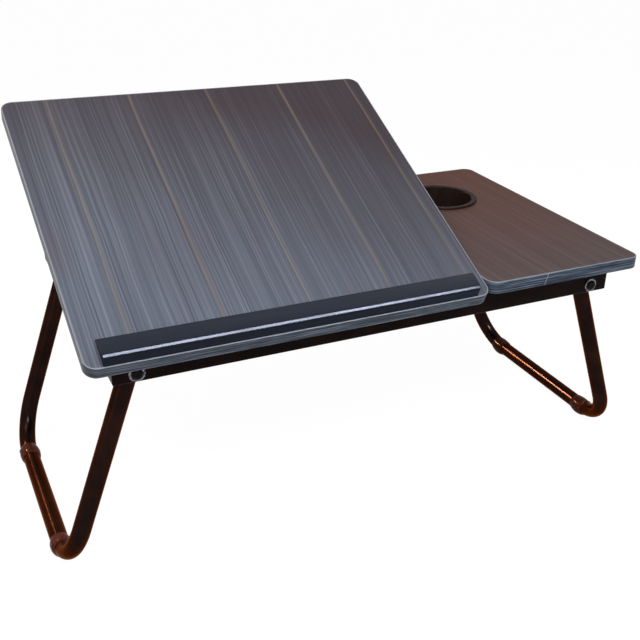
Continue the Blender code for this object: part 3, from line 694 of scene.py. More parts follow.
@dataclass
class Shell:
    """A closed surface: its points, its quads, triangles and flat ends, and the quads' UV corners."""

    points: Array
    quads: Array
    triangles: Array = field(default_factory=lambda: np.empty((0, 3), int))
    ends: list[list[int]] = field(default_factory=list)
    uv: Array | None = None

    def volume(self) -> float:
        """Returns the enclosed volume, negative if the faces point inwards."""
        p = self.points
        fans = [self.quads[:, [0, 1, 2]], self.quads[:, [0, 2, 3]], self.triangles]
        fans += [np.array([[end[0], a, b] for a, b in zip(end[1:], end[2:])]) for end in self.ends]
        corners = np.concatenate(fans)
        a, b, c = (p[corners[:, place]] for place in range(3))
        return float(np.einsum("ij,ij->", a, np.cross(b, c))) / 6

    def outward(self) -> "Shell":
        """Turns the faces outwards."""
        if self.volume() < 0:
            self.quads = self.quads[:, ::-1]
            self.triangles = self.triangles[:, ::-1]
            self.ends = [end[::-1] for end in self.ends]
            if self.uv is not None:
                self.uv = self.uv[:, ::-1]
        return self


def surface(points: Array, wrap_rows: bool = False, closing: Closing = Closing.FAN,
            uv: tuple[Array, Array] | None = None) -> Shell:
    """Makes a closed shell from a grid of points, whose columns always close on themselves.

    Args:
        points: rows by columns by 3.
        wrap_rows: whether the last row meets the first.
        closing: how the ends are closed where the rows don't meet.
        uv: the row and column distances, each one longer than the grid, where the piece has a UV map.

    Returns:
        The shell, its faces outwards.
    """
    rows, columns = points.shape[:2]
    index = np.arange(rows * columns).reshape(rows, columns)
    across = np.roll(index, -1, axis=1)
    quads = np.stack([index, across, np.roll(across, -1, axis=0), np.roll(index, -1, axis=0)], axis=-1)
    if not wrap_rows:
        quads = quads[:-1]
    shell = Shell(points.reshape(-1, 3), quads.reshape(-1, 4))
    if uv is not None:
        place = np.stack(np.meshgrid(*uv, indexing="ij"), axis=-1)
        corners = (place[:-1, :-1], place[:-1, 1:], place[1:, 1:], place[1:, :-1])
        shell.uv = np.stack(corners, axis=2).reshape(-1, 4, 2)
    if wrap_rows:
        return shell.outward()
    if closing is Closing.FACE:
        shell.ends = [index[0, ::-1].tolist(), index[-1].tolist()]
        return shell.outward()
    first, last = len(shell.points), len(shell.points) + 1
    middles = np.array([points[0].mean(axis=0), points[-1].mean(axis=0)])
    shell.points = np.concatenate([shell.points, middles])
    start = np.stack([np.full(columns, first), across[0], index[0]], axis=1)
    stop = np.stack([np.full(columns, last), index[-1], across[-1]], axis=1)
    shell.triangles = np.concatenate([start, stop])
    return shell.outward()


def piece(name: str, shells: list[Shell], finish: Finish, body: Body, nodes: tuple[str, ...] = (),
          sharp: float = 35.0) -> bpy.types.Object:
    """Makes a finished piece and lets it ride on its body.

    Args:
        name: the piece's name.
        shells: its closed surfaces, in the table's frame.
        finish: what it is made of.
        body: what it rides on.
        nodes: the CAD nodes that it stands for.
        sharp: the angle in degrees past which an edge stays sharp.

    Returns:
        The piece.
    """
    offsets = np.cumsum([0] + [len(shell.points) for shell in shells])
    points = np.concatenate([shell.points for shell in shells])
    faces: list[list[int]] = []
    for shell, offset in zip(shells, offsets):
        faces += (shell.quads + offset).tolist()
        faces += (shell.triangles + offset).tolist()
        faces += [[i + int(offset) for i in end] for end in shell.ends]
    mesh = bpy.data.meshes.new(name)
    mesh.from_pydata(points.tolist(), [], faces)
    if shells[0].uv is not None:
        layer = mesh.uv_layers.new(name="UVMap")
        layer.data.foreach_set("uv", np.concatenate([shell.uv.reshape(-1) for shell in shells]))
    mesh.shade_smooth()
    mesh.set_sharp_from_angle(angle=math.radians(sharp))
    mesh.materials.append(finish.material())
    made = bpy.data.objects.new(name, mesh)
    bpy.context.scene.collection.objects.link(made)
    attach(made, body.value)
    if nodes:
        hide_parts(*nodes)
    log.info("%s: %d faces on %s, %s", name, len(faces), body.value, finish.name)
    return made


def refinish(finish: Finish, *nodes: str) -> None:
    """Gives CAD nodes that stay in view a better material.

    Args:
        finish: what they are made of.
        nodes: their names.
    """
    for node in nodes:
        materials = frame["nodes"][node].data.materials
        materials.clear()
        materials.append(finish.material())
        log.info("%s: %s", node, finish.name)


def arc(middle: tuple[float, float] | Array, radius: float, start: float, stop: float,
        steps: int) -> Array:
    """Points of a circular arc: middle plus radius times (cosine, sine) of an even run of angles.

    Args:
        middle: the arc's centre.
        radius: its radius.
        start: its first angle in degrees.
        stop: its last angle in degrees.
        steps: how many parts it has.

    Returns:
        The points, steps + 1 by 2.
    """
    angle = np.radians(np.linspace(start, stop, steps + 1))
    return np.asarray(middle) + radius * np.stack([np.cos(angle), np.sin(angle)], axis=1)


def axes(direction: Point) -> Array:
    """Three unit vectors square to each other, of which the last follows a direction.

    Args:
        direction: the direction, of any length.

    Returns:
        The vectors as rows.
    """
    along = np.asarray(direction, float) / np.linalg.norm(direction)
    spare = np.array([0.0, 0.0, 1.0]) if abs(along[2]) < 0.9 else np.array([0.0, 1.0, 0.0])
    side = np.cross(spare, along)
    side /= np.linalg.norm(side)
    return np.stack([side, np.cross(along, side), along])


def revolve(profile: Array, middle: Array, direction: Point, sides: int, ring: bool = False,
            ripple: Callable[[Array], Array] | None = None) -> Shell:
    """Turns a profile about an axis.

    A point at radius r and height h goes to middle + r (cos a, sin a) + h along the axis, for an even run
    of angles a. The radius may be multiplied by a ripple, a function of a.

    Args:
        profile: radius and height of each point.
        middle: a point on the axis.
        direction: the axis.
        sides: how many steps there are round it.
        ring: whether the profile is closed, as for a washer.
        ripple: the factor on the radius at each angle.

    Returns:
        The shell.
    """
    angle = 2 * np.pi * np.arange(sides) / sides
    factor = np.ones(sides) if ripple is None else ripple(angle)
    side, up, along = axes(direction)
    spoke = np.outer(np.cos(angle) * factor, side) + np.outer(np.sin(angle) * factor, up)
    points = np.asarray(middle) + profile[:, 0, None, None] * spoke + profile[:, 1, None, None] * along
    return surface(points, wrap_rows=ring)


def filleted(corners: Array, radius: float, steps: int) -> Array:
    """A line through corners, with a circular bend of one radius at each inner corner.

    Each bend is centre + radius (come sin a - side cos a) for a from 0 to the turn, where come is the
    direction into the corner and side points to the inside of the bend.

    Args:
        corners: the line's corner points.
        radius: the radius of its bends.
        steps: how many parts each bend has.

    Returns:
        The line's points.
    """
    parts = [corners[:1]]
    for before, corner, after in zip(corners, corners[1:], corners[2:]):
        come = (corner - before) / np.linalg.norm(corner - before)
        leave = (after - corner) / np.linalg.norm(after - corner)
        turn = math.acos(float(np.clip(come @ leave, -1, 1)))
        start = corner - come * radius * math.tan(turn / 2)
        side = leave - come * (come @ leave)
        side /= np.linalg.norm(side)
        angle = np.linspace(0, turn, steps + 1)[:, None]
        parts.append(start + side * radius + radius * (come * np.sin(angle) - side * np.cos(angle)))
    parts.append(corners[-1:])
    return np.concatenate(parts)


def tangents(line: Array) -> Array:
    """The direction of a line at each of its points: the sum of the unit steps before and after it.

    Args:
        line: the line's points.

    Returns:
        A unit vector for each point.
    """
    steps = np.diff(line, axis=0)
    steps /= np.linalg.norm(steps, axis=1)[:, None]
    both = np.concatenate([steps[:1], steps[:-1] + steps[1:], steps[-1:]])
    return both / np.linalg.norm(both, axis=1)[:, None]


def along_line(line: Array, normal: Array, wide: Array, high: Array, sides: int) -> Array:
    """Rings round a line that lies in the plane square to normal.

    A ring's point at angle a is line + wide cos a normal + high sin a across.

    Args:
        line: the points that the rings go round.
        normal: the direction of each ring's width.
        wide: half the width at each point.
        high: half the height at each point.
        sides: how many points each ring has.

    Returns:
        The rings, line points by sides by 3.
    """
    across = np.cross(normal, tangents(line))
    angle = 2 * np.pi * np.arange(sides) / sides
    rings = line[:, None, :] + wide[:, None, None] * np.cos(angle)[None, :, None] * normal
    return rings + high[:, None, None] * np.sin(angle)[None, :, None] * across[:, None, :]


def rod(line: Array, normal: Array, radius: float, sides: int, round_end: float) -> Shell:
    """A round bar along a line, its ends rounded over a short length.

    Args:
        line: its centre line.
        normal: square to the plane of the line.
        radius: its radius.
        sides: how many sides it has.
        round_end: the radius of the rounding at its ends.

    Returns:
        The shell.
    """
    way = tangents(line)
    turn = np.radians(np.linspace(0, 90, 5))[:, None]
    start = line[0] + way[0] * round_end * (1 - np.sin(turn))
    stop = line[-1] - way[-1] * round_end * (1 - np.sin(turn[::-1]))
    eased = np.concatenate([start[::-1], line[1:-1], stop[::-1]])
    inset = round_end * (1 - np.cos(turn[:, 0]))
    radii = np.concatenate([radius - inset[::-1], np.full(len(line) - 2, radius), radius - inset])
    return surface(along_line(eased, normal, radii, radii, sides))


def tube(line: Array, normal: Array, radius: float, wall: float, sides: int) -> Shell:
    """An open tube: its outer face along the line, and its bore back again.

    Args:
        line: its centre line.
        normal: square to the plane of the line.
        radius: its outer radius.
        wall: its wall.
        sides: how many sides it has.

    Returns:
        The shell.
    """
    outer, inner = (along_line(line, normal, r, r, sides)
                    for r in (np.full(len(line), radius), np.full(len(line), radius - wall)))
    return surface(np.concatenate([outer, inner[::-1]]), wrap_rows=True)


@dataclass
class BoardEdge:
    """The edge band round a board: a strip with eased arrises, swept round a rounded rectangle."""

    corner: float = 12.0 * MM
    arris: float = 0.6 * MM
    arris_steps: int = 4
    corner_steps: int = 24

    def shell(self, low: Array, high: Array, inner: float, placing: Placing) -> Shell:
        """Builds the band's surface.

        Its row at angle a of a corner is the corner's centre + (corner - inset)(cos a, sin a), and its
        column is the strip's section, an inset and a height.

        Args:
            low: the board's lowest corner in its own frame.
            high: its highest corner.
            inner: how far the band reaches in.
            placing: the board's frame.

        Returns:
            The shell, with a UV map in metres.
        """
        r, a, steps = self.corner, self.arris, self.arris_steps
        quarter = np.linspace(0, np.pi / 2, self.corner_steps + 1)
        angle = (quarter[None, :] + np.arange(4)[:, None] * np.pi / 2).reshape(-1)
        centres = np.array([(high[0] - r, high[1] - r), (low[0] + r, high[1] - r),
                            (low[0] + r, low[1] + r), (high[0] - r, low[1] + r)])
        centres = np.repeat(centres, self.corner_steps + 1, axis=0)
        thick = high[2] - low[2]
        section = np.concatenate([arc((a, a), a, 270, 180, steps), arc((a, thick - a), a, 180, 90, steps),
                                  [(inner, thick), (inner, 0.0)]])
        reach = r - section[:, 0]
        x = centres[:, 0, None] + reach * np.cos(angle)[:, None]
        y = centres[:, 1, None] + reach * np.sin(angle)[:, None]
        z = np.broadcast_to(low[2] + section[:, 1], x.shape)
        points = np.stack([x, y, z], axis=-1)
        outer = np.concatenate([points[:, steps], points[:1, steps]])
        u = np.concatenate([[0.0], np.cumsum(np.linalg.norm(np.diff(outer, axis=0), axis=1))])
        closed = np.concatenate([section, section[:1]])
        v = np.concatenate([[0.0], np.cumsum(np.linalg.norm(np.diff(closed, axis=0), axis=1))])
        return surface(placing.out(points), wrap_rows=True, uv=(u, v))


@dataclass
class ScrewHead:
    """A pan head with a cross recess, pressed against the face that it holds."""

    radius: float = 3.0 * MM
    height: float = 1.4 * MM
    slot_half: float = 0.45 * MM
    slot_reach: float = 0.62
    slot_depth: float = 0.8 * MM
    rim: float = 0.25
    inmost: float = 0.02
    rings: int = 14
    sides: int = 40

    def shell(self, seat: Array, direction: Point) -> Shell:
        """Builds the head.

        At the share u of its radius, its height is height (rim + (1 - rim) (1 - u^3)^0.6), less the slot's
        depth wherever the middle line of an arm of the cross is less than slot_half away.

        Args:
            seat: the middle of its seat.
            direction: the way that it faces.

        Returns:
            The shell.
        """
        side, up, along = axes(direction)
        reach = np.linspace(1.0, self.inmost, self.rings)[:, None]
        angle = 2 * np.pi * np.arange(self.sides) / self.sides
        x, y = reach * np.cos(angle), reach * np.sin(angle)
        crown = np.broadcast_to(self.rim + (1 - self.rim) * (1 - reach ** 3) ** 0.6, x.shape)
        inside = np.maximum(np.abs(x), np.abs(y)) < self.slot_reach
        arm = np.minimum(np.abs(x), np.abs(y)) < self.slot_half / self.radius
        crown = crown - np.where(inside & arm, self.slot_depth / self.height, 0.0)
        x, y = np.concatenate([x[:1], x]), np.concatenate([y[:1], y])
        crown = np.concatenate([np.zeros((1, self.sides)), crown])
        points = (np.asarray(seat) + self.radius * (x[..., None] * side + y[..., None] * up)
                  + self.height * crown[..., None] * along)
        return surface(points)


@dataclass
class WeldBead:
    """A short weld: a half-sunk bead with the ripples of its pool."""

    radius: float = 1.5 * MM
    ripple: float = 1.4 * MM
    swell: float = 0.12
    blunt: float = 0.02
    per_ripple: int = 6
    sides: int = 12

    def shell(self, start: Point, stop: Point) -> Shell:
        """Builds the bead.

        At the share u of its length, its radius is radius (1 + swell sin(2 pi u length / ripple)) times the
        root of 1 - |2 u - 1|^6, which narrows it to blunt ends.

        Args:
            start: one end of its middle line.
            stop: the other end.

        Returns:
            The shell.
        """
        a, b = np.asarray(start, float), np.asarray(stop, float)
        length = float(np.linalg.norm(b - a))
        share = np.linspace(0, 1, max(2 * self.per_ripple, int(length / self.ripple * self.per_ripple)))
        line = a + (b - a) * share[:, None]
        swell = 1 + self.swell * np.sin(2 * np.pi * share * length / self.ripple)
        radii = self.radius * swell * np.sqrt(np.clip(1 - np.abs(2 * share - 1) ** 6, self.blunt, 1))
        return surface(along_line(line, axes(tuple(b - a))[0], radii, radii, self.sides))


@dataclass
class Stopper:
    """The stopper: a wedge that rises from the back to a round nose, cut on the slant at its right end.

    The nose has a wide, slightly bowed flat, which gives its long highlight.
    """

    back: float = 1.6 * MM
    nose: float = 3.5 * MM
    nose_start: float = 178.0
    lean: float = 0.8 * MM
    ease: float = 0.5 * MM
    left_ease: float = 0.25 * MM
    flat_turn: float = 115.0
    flat_half: float = 27.0
    flat_bow: float = 1.6
    flat_blend: float = 3.0
    hold: float = 0.5 * MM
    cut: float = 9.5 * MM

    def flat(self, middle: Array) -> Array:
        """The nose's flat: an arc so wide that it turns by twice the bow, between points on the nose.

        Args:
            middle: the centre of the nose.

        Returns:
            Its points.
        """
        half, bow, turn = (math.radians(a) for a in (self.flat_half, self.flat_bow, self.flat_turn))
        radius = self.nose * math.sin(half) / math.sin(bow)
        away = self.nose * math.cos(half) - radius * math.cos(bow)
        centre = middle + away * np.array([math.cos(turn), math.sin(turn)])
        return arc(centre, radius, self.flat_turn + self.flat_bow, self.flat_turn - self.flat_bow, 6)

    def section(self, depth: float, height: float) -> Array:
        """The wedge's section: straight lines between the nose's arc and the eased back edge.

        Args:
            depth: its size from front to back.
            height: its height over the board.

        Returns:
            The distance from its front and the height of each point.
        """
        nose = np.array([self.lean + self.nose, height - self.nose])
        fall = math.degrees(math.atan2(height - self.back, depth - nose[0]))
        apart = self.flat_half + self.flat_blend
        return np.concatenate([
            [(0.0, 0.0)], arc(nose, self.nose, self.nose_start, self.flat_turn + apart, 12), self.flat(nose),
            arc(nose, self.nose, self.flat_turn - apart, 90 - fall, 6),
            arc((depth - self.ease, self.back - self.ease), self.ease, 90 - fall, 0, 4), [(depth, 0.0)]])

    def end(self, section: Array, height: float, face: Array, inwards: int, ease: float) -> Array:
        """The rings of points at one end, from its face inwards.

        At angle a of the eased edge, a ring stands ease (1 - cos a) in from the face and is smaller than
        the section by the factor 1 - (1 - sin a) ease / height. One more ring holds the edge.

        Args:
            section: the wedge's section.
            height: the wedge's height.
            face: where the end's face stands at each point of the section.
            inwards: 1 where the wedge lies to the right of the face, -1 to its left.
            ease: the radius of its edge.

        Returns:
            The rings, 5 by section points by 3.
        """
        turn = np.radians(np.linspace(0, 90, 4))
        shrink = np.append(1 - (1 - np.sin(turn)) * ease / height, 1.0)[:, None]
        step = np.append(ease * (1 - np.cos(turn)), ease + self.hold)[:, None]
        middle = section[:, 0].mean()
        return np.stack([face + inwards * step, middle + (section[:, 0] - middle) * shrink,
                         section[:, 1] * shrink], axis=-1)

    def build(self, placing: Placing) -> None:
        """Builds the moulding.

        Args:
            placing: the tilting board's frame.
        """
        low, high = placing.box("stopper_bar")
        width, depth, height = high - low
        section = self.section(depth, height)
        right = width - self.cut * (1 - section[:, 0] / depth)
        rings = np.concatenate([self.end(section, height, np.zeros(len(section)), 1, self.left_ease),
                                self.end(section, height, right, -1, self.ease)[::-1]])
        shell = surface(placing.out(low + rings), closing=Closing.FACE)
        piece("stopper_moulding", [shell], STOPPER, Body.BOARD, ("stopper_bar",), sharp=40)


@dataclass
class CupInsert:
    """The cup insert: a tapered cup with a rolled flange, turned from one closed section.

    The foot's pair gives shares of the base's radius: the underside is hollow inside the first, and the cup
    stands on the ring outside the second.
    """

    wall: float = 1.8 * MM
    mouth: float = 39.2 * MM
    base: float = 34.5 * MM
    foot: tuple[float, float] = (0.72, 0.78)
    foot_rise: float = 0.8 * MM
    outer_bend: float = 2.0 * MM
    inner_bend: float = 3.0 * MM
    lip_bend: float = 1.4 * MM
    lip_drop: float = 0.2 * MM
    shoulder: float = 2.6 * MM
    shoulder_drop: float = 0.15 * MM
    neck: float = 2.0 * MM
    neck_in: float = 0.2 * MM
    collar: float = 0.1 * MM
    flat_floor: float = 0.3
    draft: float = 0.5 * MM
    draft_depth: float = 6.0 * MM
    seat_gap: float = 0.3 * MM
    sides: int = 128

    def section(self, flange: float, seat: float, top: float) -> Array:
        """The cup's closed section.

        Args:
            flange: the flange's radius.
            seat: the height of its underside over the cup's floor.
            top: the height of its top.

        Returns:
            The radius and height of each point.
        """
        roll, skirt = (top - seat) / 2, self.mouth + self.wall
        outer, inner, lip = self.outer_bend, self.inner_bend, self.lip_bend
        return np.concatenate([
            [(POLE, self.foot_rise), (self.base * self.foot[0], self.foot_rise),
             (self.base * self.foot[1], 0.0)],
            arc((self.base - outer, outer), outer, 270, 352, 8),
            [(skirt - self.neck_in, seat - self.neck), (skirt + self.collar, seat)],
            arc((flange - roll, seat + roll), roll, 270, 450, 10),
            [(self.mouth + self.shoulder, top - self.shoulder_drop)],
            arc((self.mouth + lip, top - self.lip_drop - lip), lip, 80, 180, 8),
            [(self.mouth - self.draft, seat - self.draft_depth)],
            arc((self.base - self.wall - inner, self.wall + inner), inner, 8, -90, 8),
            [(self.base * self.flat_floor, self.wall), (POLE, self.wall)]])

    def build(self) -> None:
        """Builds the cup, hung in the fixed board by its flange."""
        low, high = map(np.array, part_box("cup_insert"))
        width, _, top = high - low
        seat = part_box("fixed_board_laminate")[1].z + self.seat_gap - low[2]
        middle = np.array([(low[0] + high[0]) / 2, (low[1] + high[1]) / 2, low[2]])
        shell = revolve(self.section(width / 2, seat, top), middle, (0, 0, 1), self.sides)
        piece("cup_liner", [shell], CUP, Body.FRAME, ("cup_insert",), sharp=40)


@dataclass
class Boards:
    """The tilting board with its stopper and hinges, and the side board with its cup insert."""

    edge: BoardEdge = field(default_factory=BoardEdge)
    moulding: Stopper = field(default_factory=Stopper)
    cup: CupInsert = field(default_factory=CupInsert)
    screw: ScrewHead = field(default_factory=ScrewHead)
    skin_gap: float = 0.03 * MM
    leaf: float = 1.2 * MM
    leaf_screws: int = 3
    rail_row: float = 6.5 * MM
    board_row: float = 5.5 * MM
    bracket_row: float = 3.8 * MM

    def tilting(self) -> Placing:
        """The tilting board's own frame, flat, with its origin on the hinge axis."""
        hinge = pivot("board_tilt")
        return Placing((0.0, hinge[1], hinge[2]), Axis.X, TILT_DEGREES)

    def bands(self) -> None:
        """Edge bands of both boards."""
        for board, body, placing, band in (("tilt_board", Body.BOARD, self.tilting(), BAND),
                                           ("fixed_board", Body.FRAME, Placing(), SIDE_BAND)):
            low, high = placing.box(board + "_edge_band")
            skin = placing.box(board + "_laminate")[0]
            shell = self.edge.shell(low, high, skin[0] - low[0] - self.skin_gap, placing)
            piece(board + "_banding", [shell], band, body, (board + "_edge_band",))

    def spread(self, low: Array, high: Array) -> Array:
        """Where a leaf's screws stand across it: the middles of as many equal parts."""
        return np.linspace(low[0], high[0], 2 * self.leaf_screws + 1)[1::2]

    def leaf_fixings(self) -> None:
        """Screws through the hinge leaves and the prop's brackets."""
        placing = self.tilting()
        rail, seats = [], []
        for side in SIDES:
            low, high = map(np.array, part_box(side + "_hinge_frame_leaf"))
            rail += [self.screw.shell(np.array([x, high[1] - self.leaf, low[2] + self.rail_row]), (0, -1, 0))
                     for x in self.spread(low, high)]
            low, high = placing.box(side + "_hinge_board_leaf")
            seats += [(x, low[1] + self.board_row, high[2] - self.leaf) for x in self.spread(low, high)]
            low, high = placing.box(side + "_prop_bracket")
            seats += [((low[0] + high[0]) / 2, y, high[2] - self.leaf)
                      for y in (low[1] + self.bracket_row, high[1] - self.bracket_row)]
        down = tuple(-placing.matrix()[:, 2])
        board = [self.screw.shell(seat, down) for seat in placing.out(np.array(seats))]
        piece("hinge_rail_screws", rail, ZINC, Body.FRAME)
        piece("hinge_board_screws", board, ZINC, Body.BOARD)

    def build(self) -> None:
        """Builds and dresses both boards."""
        self.bands()
        self.moulding.build(self.tilting())
        self.cup.build()
        self.leaf_fixings()
        refinish(TILT_LAMINATE, "tilt_board_laminate")
        refinish(SIDE_LAMINATE, "fixed_board_laminate")
        refinish(FIBREBOARD, "tilt_board_core", "fixed_board_core")
        refinish(FRAME_PAINT, *(side + "_hinge_" + part for side in SIDES
                                for part in ("frame_leaf", "board_leaf", "pin")))
        refinish(ZINC, *("fixed_board_screw_" + end + "_" + place for end in ENDS
                         for place in ("inner", "outer")))


@dataclass
class SteelFrame:
    """The rails, folded from sheet and mitred at the corners, and the bars between them."""

    wall: float = 1.5 * MM
    fold: float = 2.0 * MM
    mitre_gap: float = 0.3 * MM
    fold_steps: int = 8
    bead: WeldBead = field(default_factory=WeldBead)
    corner_bead: float = 0.6 * MM
    corner_end: float = 2.5 * MM
    bar_bead: float = 2.4 * MM
    bar_end: float = 2.0 * MM
    tack: WeldBead = field(default_factory=lambda: WeldBead(1.0 * MM))
    tack_out: float = 0.3 * MM
    tack_place: float = 8.0 * MM
    tack_half: float = 4.0 * MM

    def section(self, depth: float, height: float) -> Array:
        """The channel's section, folded with a round inside and outside each bend.

        Args:
            depth: how far its lips reach from its web.
            height: its height.

        Returns:
            The distance from the web and the height of each point.
        """
        r, w, steps = self.fold, self.wall, self.fold_steps
        return np.concatenate([
            [(depth, 0.0)], arc((r, r), r, 270, 180, steps), arc((r, height - r), r, 180, 90, steps),
            [(depth, height), (depth, height - w)], arc((r, height - r), r - w, 90, 180, steps),
            arc((r, r), r - w, 180, 270, steps), [(depth, w)]])

    def channel(self, name: str, first: tuple[Array, ...], last: tuple[Array, ...]) -> None:
        """Builds a rail between its two slanting ends.

        Args:
            name: the rail's node.
            first: x, y and z of the section's points at one end.
            last: the same at the other end.
        """
        shell = surface(np.stack([np.stack(end, axis=1) for end in (first, last)]), closing=Closing.FACE)
        piece(name + "_channel", [shell], FRAME_PAINT, Body.FRAME, (name,), sharp=30)

    def rails(self) -> None:
        """The four channels, mitred so that each lip ends where the next rail's lip begins."""
        low, high = map(np.array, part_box("front_rail"))
        end_low, end_high = map(np.array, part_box("left_end_rail"))
        depth, end_depth, height = high[1] - low[1], end_high[0] - end_low[0], high[2] - low[2]
        side, front, back = -end_low[0], low[1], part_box("back_rail")[1].y
        into, up = self.section(depth, height).T
        reach, z = side - into * end_depth / depth - self.mitre_gap, low[2] + up
        for name, face, inwards in (("front_rail", front, 1), ("back_rail", back, -1)):
            y = face + inwards * into
            self.channel(name, (-reach, y, z), (reach, y, z))
        into, up = self.section(end_depth, height).T
        reach, z = (back - front) / 2 - into * depth / end_depth - self.mitre_gap, low[2] + up
        middle = (front + back) / 2
        for name, outwards in (("left_end_rail", -1), ("right_end_rail", 1)):
            x = outwards * (side - into)
            self.channel(name, (x, middle - reach, z), (x, middle + reach, z))
        inset = self.wall + self.corner_bead
        foot, head = low[2] + self.corner_end, high[2] - self.corner_end
        beads = [self.bead.shell((x, y, foot), (x, y, head))
                 for x in (inset - side, side - inset) for y in (front + inset, back - inset)]
        piece("corner_welds", beads, FRAME_PAINT, Body.FRAME)

    def bars(self) -> None:
        """Welds of the seam bar, the rack bar and the rack."""
        beads = []
        for bar in ("seam_cross_bar", "rack_cross_bar"):
            low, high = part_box(bar)
            z = high.z - self.bar_bead
            beads += [self.bead.shell((low.x + self.bar_end, y, z), (high.x - self.bar_end, y, z))
                      for y in (low.y, high.y)]
        low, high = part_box("prop_rack")
        beads += [self.tack.shell((x, y - self.tack_half, low.z), (x, y + self.tack_half, low.z))
                  for x in (low.x - self.tack_out, high.x + self.tack_out)
                  for y in (low.y + self.tack_place, high.y - self.tack_place)]
        piece("bar_welds", beads, FRAME_PAINT, Body.FRAME)

    def build(self) -> None:
        """Builds and dresses the frame."""
        self.rails()
        self.bars()
        refinish(FRAME_PAINT, "seam_cross_bar", "rack_cross_bar")
        refinish(ZINC, "prop_rack")


@dataclass
class Pivots:
    """The leg pivots: a domed bolt, a toothed washer, a spacer and a lock nut."""

    dome_height: float = 3.6 * MM
    dome_radius: float = 5.6 * MM
    dome_rim: float = 0.5 * MM
    shank: float = 3.0 * MM
    shank_ease: float = 0.5 * MM
    neck: float = 0.2 * MM
    seat_gap: float = 0.3 * MM
    bore: float = 3.6 * MM
    dish: float = 5.4 * MM
    root: float = 7.0 * MM
    washer_radius: float = 7.7 * MM
    teeth: int = 14
    tooth_depth: float = 0.04
    tooth_steps: int = 12
    dome_sides: int = 64
    dome_steps: int = 14

    def tooth(self, angle: Array) -> Array:
        """The factor on the washer's radius: 1 - depth (1 - cos(teeth angle)) / 2."""
        return 1 - self.tooth_depth / 2 * (1 - np.cos(self.teeth * angle))

    def washer(self, middle: Array, facing: int, thick: float) -> Shell:
        """The washer, dished so that its inner edge stands higher than its teeth.

        Args:
            middle: the middle of its seat.
            facing: -1 at the front rail, 1 at the back one.
            thick: its thickness.

        Returns:
            The shell.
        """
        r = self.washer_radius
        radii = [self.bore, self.root, r, r, self.root, self.dish, self.bore]
        shares = np.array([0.0, 0.0, 0.25, 0.65, 1.0, 1.15, 1.15])
        return revolve(np.stack([radii, shares * thick], axis=1), middle, (0, facing, 0),
                       self.teeth * self.tooth_steps, ring=True, ripple=self.tooth)

    def bolt(self, seat: Array, facing: int, length: float) -> Shell:
        """The bolt: a dome that is an ellipse of the turn a, radius sin a and height cos a, on a shank.

        Args:
            seat: the middle of the dome's seat.
            facing: -1 at the front rail, 1 at the back one.
            length: the length of its shank.

        Returns:
            The shell.
        """
        turn = np.radians(np.linspace(90, 0, self.dome_steps + 1))
        dome = np.stack([np.maximum(self.dome_radius * np.sin(turn), POLE),
                         self.dome_rim + (self.dome_height - self.dome_rim) * np.cos(turn)], axis=1)
        profile = np.concatenate([[(POLE, -length), (self.shank - self.shank_ease, -length),
                                   (self.shank, self.shank_ease - length), (self.shank, 0.0),
                                   (self.dome_radius - self.neck, 0.0)], dome])
        return revolve(profile, seat, (0, facing, 0), self.dome_sides)

    def build(self) -> None:
        """Builds the domes and washers, and dresses the rest."""
        for side in SIDES:
            for end, facing in zip(ENDS, (-1, 1)):
                name = side + "_" + end + "_pivot_"
                low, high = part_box(name + "washer")
                middle = np.array([(low.x + high.x) / 2, low.y if facing > 0 else high.y,
                                   (low.z + high.z) / 2])
                thick = high.y - low.y
                piece(name + "toothed_washer", [self.washer(middle, facing, thick)], NICKEL, Body.FRAME,
                      (name + "washer",), sharp=30)
                low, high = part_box(name + "bolt")
                seat = middle + np.array([0.0, facing * (thick + self.seat_gap), 0.0])
                bolt = self.bolt(seat, facing, high.y - low.y - self.dome_height)
                piece(name + "dome_bolt", [bolt], DARK_DOME, Body.FRAME, (name + "bolt",))
                refinish(PLUG, name + "spacer")
                refinish(ZINC, name + "nut")


